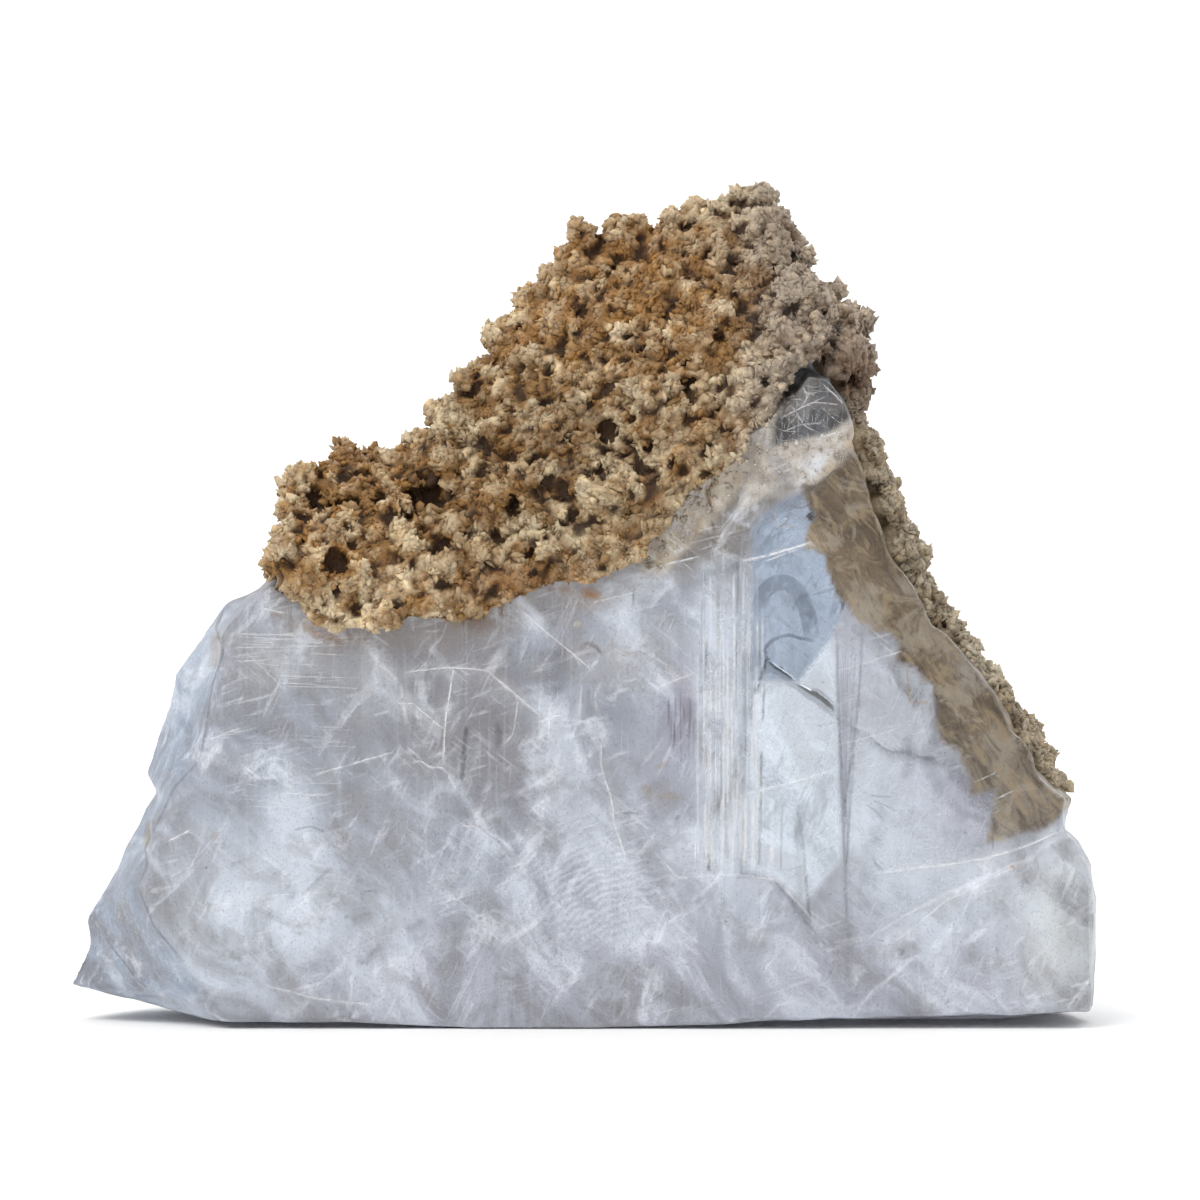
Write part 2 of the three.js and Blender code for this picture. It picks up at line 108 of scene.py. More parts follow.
LEFT_FACET = [
    (233, 600), (215, 627), (225, 650), (213, 682), (207, 724), (199, 762), (173, 788), (160, 817),
    (141, 849), (146, 868), (136, 888), (153, 928), (182, 963), (215, 1012), (60, 1012), (60, 540),
    (240, 540),
]
FLAKE = [
    (652, 852), (677, 878), (733, 874), (775, 878), (805, 911), (820, 935), (826, 1040), (640, 1040),
]
GRAINY = [
    (636, 572), (645, 520), (700, 455), (770, 370), (790, 350), (784, 380), (774, 420), (770, 450),
    (745, 480), (715, 515), (690, 545), (660, 575),
]
WHITISH = [
    (772, 446), (800, 440), (830, 432), (862, 412), (864, 438), (838, 468), (812, 486), (784, 480),
    (756, 500), (738, 512), (745, 480),
]
GRAINY_FROM = [(640, 560), (660, 520), (705, 480), (745, 445), (780, 385)]
STEP_BESIDE = [(736, 468), (800, 478), (814, 504), (784, 522), (768, 560), (766, 690), (738, 690)]
STEP_BELOW = [
    (800, 930), (850, 880), (960, 850), (1030, 800), (1110, 800), (1110, 880), (960, 930), (870, 975),
    (800, 975),
]
CRUST_FOOT = [
    (276, 548), (286, 587), (299, 616), (318, 632), (366, 635), (385, 618), (413, 619), (453, 632),
    (477, 619), (515, 603), (592, 590), (615, 579), (640, 563), (738, 552),
]
BAND_FOOT = 872  # where the cleavage steps end
ARCS_CENTRE = (660, 1030)  # the middle of the fine arcs near the base
VEIL_STEP = 7


def linear(r, g, b):
    """An sRGB colour from 0 to 255 as linear numbers."""
    return [(c / 255 / 12.92) if c <= 10 else ((c / 255 + 0.055) / 1.055) ** 2.4 for c in (r, g, b)]


# The slab's tones
MIST = linear(144, 153, 168)
LAVENDER = linear(170, 173, 185)
PALE = linear(208, 217, 229)
DUSK = linear(116, 114, 120)
SHADE = linear(120, 118, 122)
PURPLE = linear(132, 124, 144)
BLUE = linear(134, 155, 182)
SKY = linear(232, 243, 255)
BEIGE = linear(102, 95, 87)
GLASSY = linear(44, 38, 34)
OLIVE = linear(216, 221, 221)
TIP = linear(146, 158, 176)
FIBRE = linear(178, 174, 172)
UNDER_CRUST_SHADE = linear(122, 114, 106)
BLUR_BROWN = linear(120, 92, 60)
CHALK = linear(206, 208, 212)

# Soft spots of tone on the front face: x, y, half width, half height, tone and strength
# The SHADE spots are painted shade, below the upper crust and over the middle of the face.
TONE_SPOTS = [
    (330, 650, 110, 50, MIST, 0.7), (280, 665, 60, 30, FIBRE, 0.7), (410, 690, 70, 60, DUSK, 0.75),
    (300, 770, 110, 90, MIST, 0.8), (480, 730, 60, 90, SHADE, 0.6), (560, 650, 60, 50, MIST, 0.6),
    (200, 930, 80, 90, PALE, 0.9), (330, 900, 140, 50, PALE, 0.75), (430, 650, 90, 25, SHADE, 0.8),
    (620, 700, 60, 90, MIST, 0.7), (678, 725, 16, 45, PURPLE, 0.8), (600, 830, 80, 70, LAVENDER, 0.6),
    (470, 850, 90, 60, MIST, 0.5), (550, 950, 160, 50, LAVENDER, 0.7), (890, 790, 60, 110, SKY, 0.7),
    (940, 800, 40, 50, PURPLE, 0.5), (930, 910, 120, 40, PALE, 0.6), (900, 980, 120, 40, LAVENDER, 0.7),
    (1065, 930, 40, 100, OLIVE, 0.8), (745, 930, 70, 50, MIST, 0.5), (650, 610, 70, 40, MIST, 0.6),
    (400, 970, 120, 40, LAVENDER, 0.5), (215, 800, 50, 60, MIST, 0.5), (465, 745, 26, 60, DUSK, 0.6),
    (500, 735, 22, 34, DUSK, 0.6), (557, 668, 16, 34, DUSK, 0.55), (530, 640, 40, 24, MIST, 0.5),
    (355, 800, 60, 30, DUSK, 0.3), (640, 645, 40, 40, FIBRE, 0.4), (372, 690, 26, 40, CHALK, 0.45),
    (600, 880, 60, 70, MIST, 0.4), (345, 690, 40, 50, LAVENDER, 0.5), (800, 960, 60, 50, LAVENDER, 0.6),
    (700, 800, 40, 60, MIST, 0.5), (220, 950, 70, 50, PALE, 0.7), (510, 770, 80, 60, SHADE, 0.75),
    (150, 900, 60, 90, PALE, 0.6), (120, 960, 50, 40, PALE, 0.6), (270, 860, 50, 90, PALE, 0.5),
    (450, 690, 90, 50, SHADE, 0.4),
]

# Blurred brown spots below the upper crust, partly the crust's own brown seen through the slab and partly
# painted shade beneath it: x, y, half width, half height and strength
UNDER_CRUST_BLURS = [
    (470, 622, 30, 15, 0.8), (345, 640, 24, 9, 0.5), (505, 610, 14, 14, 0.6), (590, 600, 20, 10, 0.6),
    (310, 628, 22, 9, 0.5), (400, 640, 40, 12, 0.3), (625, 650, 16, 8, 0.45), (586, 650, 12, 5, 0.5),
]

# Cracks that reach the front face: points, half width in pixels, how far in they go in mm, the pixels that
# they lean by on the way, and strength
CRACKS = [
    ([(405, 673), (440, 668), (472, 669), (489, 672)], 1.3, 9, -16, 0.8),
    ([(453, 669), (448, 703), (445, 728), (443, 766)], 1.3, 9, 12, 0.85),
    ([(414, 704), (443, 729)], 1.0, 6, 10, 0.75), ([(396, 703), (414, 704)], 1.3, 5, 6, 0.75),
    ([(369, 652), (400, 683), (407, 726)], 3.5, 12, 26, 0.5),
    ([(515, 604), (540, 626), (566, 648), (594, 672)], 1.0, 11, 18, 0.85),
    ([(489, 672), (505, 686), (519, 698), (541, 717)], 1.8, 8, 14, 0.7),
    ([(518, 698), (513, 735), (505, 744)], 1.1, 6, -10, 0.6),
    ([(541, 693), (540, 711)], 1.1, 5, 8, 0.55),
    ([(538, 722), (555, 716), (564, 716)], 1.3, 5, 8, 0.75), ([(550, 718), (548, 739)], 1.1, 5, 8, 0.6),
    ([(560, 720), (588, 722)], 1.0, 4, 6, 0.5),
    ([(411, 764), (420, 761), (430, 768), (443, 768), (456, 789)], 1.4, 8, 16, 0.75),
    ([(315, 775), (350, 765), (394, 752)], 1.3, 8, 12, 0.8),
    ([(282, 794), (329, 796)], 1.1, 6, 10, 0.6), ([(462, 827), (480, 827)], 1.1, 4, 5, 0.7),
    ([(601, 744), (601, 765), (607, 785), (613, 805), (614, 822), (626, 859)], 1.4, 9, 18, 0.7),
    ([(595, 690), (596, 712)], 1.3, 8, 14, 0.5), ([(582, 684), (580, 715)], 1.5, 8, 14, 0.4),
    ([(209, 740), (240, 728)], 1.2, 6, 10, 0.75), ([(168, 841), (190, 830)], 1.6, 6, 8, 0.9),
    ([(260, 608), (285, 613)], 1.4, 5, 6, 0.8), ([(246, 652), (285, 690)], 0.9, 6, 8, 0.4),
    ([(741, 562), (775, 553), (812, 542)], 1.8, 5, 6, 0.95), ([(764, 561), (799, 549)], 1.0, 4, 4, 0.8),
    ([(645, 570), (672, 563), (700, 556)], 1.4, 8, 10, 0.8), ([(656, 687), (691, 675)], 1.3, 6, 8, 0.7),
    ([(733, 798), (765, 790), (799, 781), (836, 770)], 1.5, 5, 5, 0.6),
    ([(837, 672), (902, 651)], 1.1, 7, 8, 0.5), ([(829, 748), (900, 728)], 1.1, 7, 8, 0.4),
    ([(1072, 828), (1030, 846), (986, 860), (930, 868), (874, 875)], 1.8, 12, 22, 0.7),
    ([(1019, 867), (985, 884), (950, 900), (895, 944)], 1.5, 12, 18, 0.6),
    ([(974, 783), (996, 774)], 1.2, 4, 5, 0.75), ([(996, 799), (1016, 790)], 1.1, 4, 5, 0.6),
    ([(262, 986), (290, 993), (315, 1000), (375, 1007)], 2.0, 8, 10, 0.6),
    ([(200, 912), (260, 897), (330, 893)], 1.6, 10, 16, 0.35),
    # The flake's edge: a white line, partly the broken edge's own whiteness and partly a painted highlight
    # along its step.
    ([(655, 853), (677, 878), (733, 876), (775, 880), (805, 911), (819, 933)], 1.8, 4, 6, 0.45),
    ([(385, 602), (398, 610), (413, 619)], 2.4, 3, 4, 0.9), ([(118, 790), (146, 783)], 1.2, 4, 5, 0.5),
    ([(592, 602), (620, 596), (640, 590)], 1.0, 6, 8, 0.5),
    ([(780, 418), (800, 408), (812, 402), (840, 404)], 0.8, 6, 12, 0.7),
    ([(786, 400), (795, 410), (804, 425), (818, 432)], 0.8, 6, 12, 0.6),
    ([(818, 380), (832, 392), (845, 405)], 0.8, 3, 5, 0.8),
    ([(800, 384), (808, 396), (798, 410)], 0.8, 5, 8, 0.7),
    ([(815, 440), (832, 434), (850, 428)], 1.4, 6, 12, 0.75),
    ([(775, 372), (788, 380), (796, 372)], 0.8, 4, 8, 0.6),
    ([(822, 408), (838, 422), (852, 424)], 0.9, 5, 10, 0.7),
    ([(782, 432), (800, 424), (822, 422)], 0.9, 5, 10, 0.5),
]

# The marks' colours
GREY = linear(96, 94, 98)
SOOT = linear(70, 66, 66)
SMOKE = linear(128, 129, 138)
GREEN_GREY = linear(128, 132, 132)
VIOLET = linear(112, 102, 124)
RUST = linear(112, 78, 44)
OCHRE_STAIN_AND_GLINT = linear(168, 118, 62)
TAN_STAIN = linear(172, 150, 118)
CREAM = linear(214, 204, 190)
STEEL = linear(120, 134, 156)

# Dark and coloured marks on the face: points, half width in pixels, colour and strength
MARKS = [
    ([(467, 726), (464, 750), (462, 781)], 3.2, SOOT, 0.6), ([(498, 720), (500, 748)], 5, GREY, 0.5),
    ([(557, 646), (559, 668), (557, 694)], 14, SMOKE, 0.55), ([(764, 683), (763, 724)], 1.8, SOOT, 0.7),
    ([(762, 751), (761, 789)], 2.2, SOOT, 0.7), ([(761, 792), (759, 868)], 2.0, GREEN_GREY, 0.6),
    ([(738, 562), (737, 616)], 1.6, GREY, 0.45), ([(707, 640), (706, 683)], 1.6, GREY, 0.4),
    ([(782, 806), (781, 872)], 1.5, GREEN_GREY, 0.6),
    ([(837, 629), (838, 690), (840, 748), (842, 800), (845, 860), (847, 925)], 2.2, SMOKE, 0.6),
    ([(862, 632), (860, 690), (855, 732), (850, 770), (847, 791)], 2.0, SMOKE, 0.5),
    ([(840, 700), (842, 780), (846, 850), (848, 940), (850, 990)], 7, SMOKE, 0.25),
    ([(736, 756), (736, 800)], 6, GREEN_GREY, 0.4),
    ([(797, 806), (803, 845), (807, 887), (810, 925)], 2.6, GREY, 0.55),
    ([(796, 815), (799, 850), (801, 905)], 4.5, GREEN_GREY, 0.4),
    ([(901, 952), (904, 957)], 5, VIOLET, 0.55), ([(995, 951), (1000, 951)], 4, VIOLET, 0.5),
    ([(828, 973), (833, 974)], 4, VIOLET, 0.5), ([(503, 855), (503, 861)], 3, SOOT, 0.6),
    ([(205, 867), (206, 870)], 2.2, SOOT, 0.7),
    ([(581, 648), (588, 642), (597, 648), (603, 655)], 3, RUST, 0.5),
    ([(612, 636), (614, 650)], 2.2, TAN_STAIN, 0.6), ([(622, 657), (631, 652)], 3, TAN_STAIN, 0.5),
    ([(575, 620), (579, 628)], 6, CREAM, 0.85), ([(634, 586), (633, 608)], 2, GREY, 0.4),
    ([(289, 902), (296, 890)], 5, GREY, 0.3), ([(300, 897), (318, 880), (332, 868)], 2.5, GREY, 0.3),
    ([(345, 916), (347, 921)], 3, SOOT, 0.5), ([(405, 932), (416, 925), (424, 920)], 6, GREY, 0.25),
    ([(300, 972), (310, 969), (320, 968)], 5, GREY, 0.25),
    ([(355, 968), (366, 960), (385, 945)], 6, SMOKE, 0.3),
    ([(292, 831), (310, 827), (326, 834)], 1.5, GREY, 0.5),
    ([(362, 893), (374, 892), (378, 896)], 1.6, GREY, 0.5),
    ([(101, 939), (117, 960), (133, 981)], 1.4, GREY, 0.45), ([(67, 989), (82, 963)], 1.4, GREY, 0.5),
    ([(226, 600), (214, 628), (224, 652), (212, 684), (206, 726), (199, 760)], 1.6, SMOKE, 0.6),
    ([(199, 762), (173, 788), (160, 817), (143, 849), (146, 868), (137, 888)], 1.8, SMOKE, 0.5),
    ([(137, 888), (153, 928), (182, 963)], 1.6, SMOKE, 0.45),
    ([(149, 820), (146, 838), (144, 850)], 6, TAN_STAIN, 0.55),
    ([(212, 834), (216, 840)], 7, TAN_STAIN, 0.55),
    ([(214, 632), (216, 650), (215, 670)], 9, TAN_STAIN, 0.45),
    ([(270, 614), (284, 616)], 3, OCHRE_STAIN_AND_GLINT, 0.6),
    ([(468, 590), (500, 588), (520, 580), (540, 571)], 5, RUST, 0.8),
    ([(560, 553), (568, 568), (578, 582)], 4, RUST, 0.75),
    ([(498, 590), (501, 603), (504, 618)], 5, RUST, 0.7),
    ([(580, 592), (592, 594), (602, 598)], 7, OCHRE_STAIN_AND_GLINT, 0.75),
    ([(545, 590), (560, 588), (575, 592)], 6, OCHRE_STAIN_AND_GLINT, 0.5),
    ([(462, 616), (478, 622), (495, 617)], 13, RUST, 0.5),
    ([(300, 622), (318, 636), (340, 640)], 6, OCHRE_STAIN_AND_GLINT, 0.5),
    ([(345, 630), (352, 641)], 4, RUST, 0.6), ([(706, 486), (709, 500), (712, 513)], 2.8, RUST, 0.85),
    ([(711, 519), (716, 531)], 2.2, RUST, 0.75), ([(745, 526), (747, 528)], 1.6, SOOT, 0.8),
    ([(790, 505), (799, 508), (808, 505), (812, 502)], 1.5, RUST, 0.6),
    ([(800, 515), (806, 520), (814, 518), (820, 513)], 1.5, RUST, 0.6),
    ([(781, 518), (789, 516), (792, 511)], 1.4, RUST, 0.55),
    ([(776, 528), (783, 524), (790, 527), (796, 524)], 1.3, TAN_STAIN, 0.7),
    ([(805, 528), (813, 525), (824, 521)], 1.3, TAN_STAIN, 0.7),
    ([(771, 510), (776, 520), (774, 528)], 1.4, TAN_STAIN, 0.6),
    ([(640, 790), (648, 786), (652, 800)], 4, TAN_STAIN, 0.5),
    ([(655, 800), (668, 795), (680, 800)], 5, TAN_STAIN, 0.4),
    ([(655, 770), (668, 762)], 4, TAN_STAIN, 0.4),
    ([(905, 735), (912, 755), (905, 780)], 8, SMOKE, 0.4),
    ([(925, 745), (930, 770), (945, 800)], 9, SMOKE, 0.45),
    ([(950, 800), (960, 812), (985, 822)], 5, SMOKE, 0.45), ([(994, 815), (994, 852)], 1.5, SMOKE, 0.7),
    ([(868, 795), (880, 798), (893, 797)], 1.2, SMOKE, 0.6),
    ([(872, 801), (885, 806), (897, 812)], 1.2, SMOKE, 0.6),
    ([(866, 805), (876, 812), (884, 822)], 1.2, SMOKE, 0.5),
    ([(873, 858), (878, 867), (886, 872)], 2, GREY, 0.5),
    # A painted glint: gold light reflected off an inner crack, in the ochre of the stains.
    ([(1010, 867), (1016, 869)], 2.6, OCHRE_STAIN_AND_GLINT, 0.9),
    ([(889, 675), (891, 686)], 1.8, OCHRE_STAIN_AND_GLINT, 0.5),
    ([(907, 665), (909, 700), (912, 705)], 1.6, TAN_STAIN, 0.8),
    ([(912, 702), (925, 703), (932, 702)], 1.5, TAN_STAIN, 0.8),
    ([(930, 705), (932, 715)], 1.6, RUST, 0.5), ([(620, 814), (640, 814)], 1.5, GREY, 0.4),
]

# The darker ribbon that curls inside the window: points, half width in pixels and strength
WINDOW_RIBBON = [
    ([(759, 606), (763, 592), (774, 582), (788, 581), (799, 590), (806, 605), (810, 622), (813, 638)],
     8.5, 0.5),
    ([(816, 640), (802, 638), (790, 634), (780, 636), (770, 641), (765, 650), (768, 659), (763, 668)],
     2.2, 0.65),
    ([(800, 596), (812, 612), (817, 628)], 5, 0.25),
    ([(752, 600), (746, 625), (748, 652), (758, 668)], 11, 0.3),
]
RIBBON_DEPTH = 7  # in mm below the face

# Holes in the upper crust: x, y, radius in pixels and depth in mm
HOLES = [
    (710, 250, 8, 1.6), (675, 300, 9, 1.6), (635, 330, 8, 1.4), (605, 425, 9, 3.0), (648, 445, 6, 1.6),
    (555, 430, 9, 1.4), (345, 463, 17, 3.2), (335, 560, 12, 1.7), (315, 500, 10, 1.7),
    (512, 503, 9, 1.8), (540, 490, 8, 1.6), (563, 493, 8, 1.7), (497, 535, 8, 1.6), (573, 520, 9, 1.7),
    (428, 490, 15, 4.0), (410, 505, 14, 3.4), (385, 512, 12, 3.0), (360, 515, 10, 1.6),
    (684, 385, 6, 3.0), (692, 397, 5, 3.0), (300, 530, 8, 1.4), (455, 470, 8, 1.4), (480, 440, 8, 1.4),
    (520, 390, 9, 1.6), (560, 345, 9, 1.6), (600, 290, 9, 1.7), (640, 250, 8, 1.6), (735, 255, 8, 1.6),
    (590, 250, 7, 1.6), (655, 395, 8, 1.6), (625, 480, 8, 1.6), (590, 470, 8, 1.4), (530, 545, 9, 1.4),
    (440, 545, 9, 1.6), (470, 520, 8, 1.4),
]


def place(px, py, depth_mm):
    """The point of the frame that the photograph shows at a pixel, this far behind the front face."""
    x = (px - MIDDLE_PX) * MM_PER_PX * MM
    z = ((FOOT_PX - py) * MM_PER_PX - depth_mm * VIEW_RISE) * MM
    return (x, FRONT_Y + depth_mm * MM, z)


# Noise

AXIS_PRIMES = (73856093, 19349663, 83492791)
SEED_PRIME = 2654435761
STIRS = (1274126177, 73244475)
KEPT_BITS = 0xFFFFFF


def hashed(cell, seed):
    """A repeatable number from 0 to 1 for each cell of whole numbers."""
    x_prime, y_prime, z_prime = AXIS_PRIMES
    bits = cell[..., 0] * x_prime ^ cell[..., 1] * y_prime ^ cell[..., 2] * z_prime ^ seed * SEED_PRIME
    bits = (bits ^ (bits >> 13)) * STIRS[0]
    bits = (bits ^ (bits >> 16)) * STIRS[1]
    return ((bits ^ (bits >> 15)) & KEPT_BITS) / KEPT_BITS


def noise(co, size, seed):
    """Smooth noise from -1 to 1 whose lumps have this size."""
    scaled = co / size
    cell = np.floor(scaled).astype(np.int64)
    part = scaled - cell
    part = part * part * (3 - 2 * part)
    total = np.zeros(len(co))
    for corner in np.ndindex(2, 2, 2):
        weight = np.prod(np.where(np.array(corner) == 1, part, 1 - part), axis=1)
        total += weight * hashed(cell + np.array(corner), seed)
    return total * 2 - 1


def fractal(co, size, seed, octaves=3):
    total = np.zeros(len(co))
    for octave in range(octaves):
        total += noise(co, size / 2**octave, seed + octave) / 2**octave
    return total / (2 - 2 ** (1 - octaves))


def bent(co, size, amount, seed):
    """The points shifted by smooth noise, so that what is made from them loses its straight rows."""
    return co + amount * np.stack([noise(co, size, seed + axis) for axis in range(3)], axis=1)


def cells(co, size, seed):
    """Distances to the nearest and second nearest seed point, in cells, and the nearest one's own number."""
    scaled = co / size
    cell = np.floor(scaled).astype(np.int64)
    first = np.full(len(co), 9.0)
    second = np.full(len(co), 9.0)
    number = np.zeros(len(co))
    for shift in np.ndindex(3, 3, 3):
        near = cell + np.array(shift) - 1
        spot = near + np.stack([hashed(near, seed + axis) for axis in range(3)], axis=1)
        distance = np.linalg.norm(scaled - spot, axis=1)
        closer = distance < first
        second = np.where(closer, first, np.minimum(second, distance))
        number = np.where(closer, hashed(near, seed + 9), number)
        first = np.where(closer, distance, first)
    return first, second, number


def ramp(value, low, high):
    """A soft step from 0 at the low value to 1 at the high one."""
    part = np.clip((value - low) / (high - low), 0, 1)
    return part * part * (3 - 2 * part)


def mixed(a, b, share):
    return a * (1 - share[:, None]) + np.asarray(b) * share[:, None]


# Masks in the photograph's pixels


def inside(outline, px, py):
    result = np.zeros(len(px), bool)
    for (x1, y1), (x2, y2) in zip(outline, outline[1:] + outline[:1]):
        crosses = (y1 > py) != (y2 > py)
        run = (x2 - x1) * (py - y1) / ((y2 - y1) or 1e-9) + x1
        result ^= crosses & (px < run)
    return result


def distance_to(line, px, py):
    best = np.full(len(px), 1e9)
    for (x1, y1), (x2, y2) in zip(line, line[1:]):
        dx, dy = x2 - x1, y2 - y1
        along = np.clip(((px - x1) * dx + (py - y1) * dy) / (dx * dx + dy * dy), 0, 1)
        best = np.minimum(best, np.hypot(px - x1 - along * dx, py - y1 - along * dy))
    return best


class Places:
    """Points of the frame with their pixels in the photograph. Its masks go from 0 to 1."""

    def __init__(self, co, px=None, py=None):
        self.co = co
        if px is None:
            px = MIDDLE_PX + co[:, 0] / (MM_PER_PX * MM)
            py = FOOT_PX - (co[:, 2] + (co[:, 1] - FRONT_Y) * VIEW_RISE) / (MM_PER_PX * MM)
        self.px = px
        self.py = py

    def area(self, outline, edge, right=0, down=0):
        """1 inside the outline and 0 outside, blending over the edge's width, with the places shifted."""
        px, py = self.px + right, self.py + down
        distance = distance_to(outline + outline[:1], px, py)
        signed = np.where(inside(outline, px, py), distance, -distance)
        return ramp(signed, -edge, edge)

    def areas(self, outlines):
        """The largest share of several outlines, each with its edge and its share."""
        return np.maximum.reduce([share * self.area(outline, edge) for outline, edge, share in outlines])

    def spot(self, x, y, half_width, half_height, right=0, down=0):
        """A soft spot about one pixel, with the places shifted."""
        across, up = (self.px + right - x) / half_width, (self.py + down - y) / half_height
        return np.exp(-(across**2) - up**2)

    def fractal(self, size_mm, seed, octaves=3):
        return fractal(self.co, size_mm * MM, seed, octaves)

    def cells(self, bend_mm, shift_mm, size_mm, seed, bend_seed):
        """Cells of one size over the places, bent by noise."""
        return cells(bent(self.co, bend_mm * MM, shift_mm * MM, bend_seed), size_mm * MM, seed)

    def filled(self, colour):
        return np.tile(colour, (len(self.co), 1))


# Meshes


def coordinates(mesh):
    co = np.empty(len(mesh.vertices) * 3)
    mesh.vertices.foreach_get("co", co)
    return co.reshape(-1, 3)


def normals(mesh):
    no = np.empty(len(mesh.vertices) * 3)
    mesh.vertices.foreach_get("normal", no)
    return no.reshape(-1, 3)


def move_to(mesh, co):
    mesh.vertices.foreach_set("co", co.ravel())
    mesh.update()


def store(mesh, name, values):
    """Keeps a number, or a colour of three numbers, for each vertex."""
    values = np.asarray(values, np.float32)
    if values.ndim == 1:
        mesh.attributes.new(name, "FLOAT", "POINT").data.foreach_set("value", values)
        return
    colours = np.concatenate([values, np.ones((len(values), 1), np.float32)], axis=1)
    mesh.attributes.new(name, "FLOAT_COLOR", "POINT").data.foreach_set("color", colours.ravel())


def add_piece(name, mesh, material):
    piece = bpy.data.objects.new(name, mesh)
    bpy.context.scene.collection.objects.link(piece)
    mesh.materials.clear()
    mesh.materials.append(material)
    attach(piece, "root")
    return piece


def remeshed(node, mode, **settings):
    """A fine mesh in the shape of a node's solid."""
    source = bpy.data.objects.new("source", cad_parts[node].data.copy())
    bpy.context.scene.collection.objects.link(source)
    modifier = source.modifiers.new("fine", "REMESH")
    modifier.mode = mode
    for key, value in settings.items():
        setattr(modifier, key, value)
    evaluated = source.evaluated_get(bpy.context.evaluated_depsgraph_get())
    mesh = bpy.data.meshes.new_from_object(evaluated)
    bpy.data.objects.remove(source)
    return mesh


def mesh_of(name, co, faces):
    """A mesh from points and triangles, or quads, given as arrays."""
    mesh = bpy.data.meshes.new(name)
    sides = faces.shape[1]
    mesh.vertices.add(len(co))
    mesh.vertices.foreach_set("co", np.asarray(co, np.float32).ravel())
    mesh.loops.add(faces.size)
    mesh.loops.foreach_set("vertex_index", faces.ravel().astype(np.int32))
    mesh.polygons.add(len(faces))
    mesh.polygons.foreach_set("loop_start", np.arange(0, faces.size, sides, dtype=np.int32))
    mesh.update(calc_edges=True)
    mesh.validate()
    return mesh


def neighbour_mean(mesh, values, rounds):
    """Values averaged over neighbouring vertices, some rounds over."""
    edges = np.empty(len(mesh.edges) * 2, np.int64)
    mesh.edges.foreach_get("vertices", edges)
    a, b = edges.reshape(-1, 2).T
    size = len(values)
    count = np.bincount(a, minlength=size) + np.bincount(b, minlength=size) + 1
    columns = []
    for column in values.reshape(size, -1).T:
        for _ in range(rounds):
            total = np.bincount(a, column[b], size) + np.bincount(b, column[a], size)
            column = (column + total) / count
        columns.append(column)
    return np.stack(columns, axis=1).reshape(values.shape)


def tree_of(mesh):
    """A mesh as something that rays and distances can be asked of."""
    return BVHTree.FromPolygons([v.co for v in mesh.vertices], [p.vertices for p in mesh.polygons])


# Materials

MIX_INPUTS = (0, 6, 7)  # a colour mix's factor and its two colours
MIX_RESULT = 2
GYPSUM_IOR = 1.52


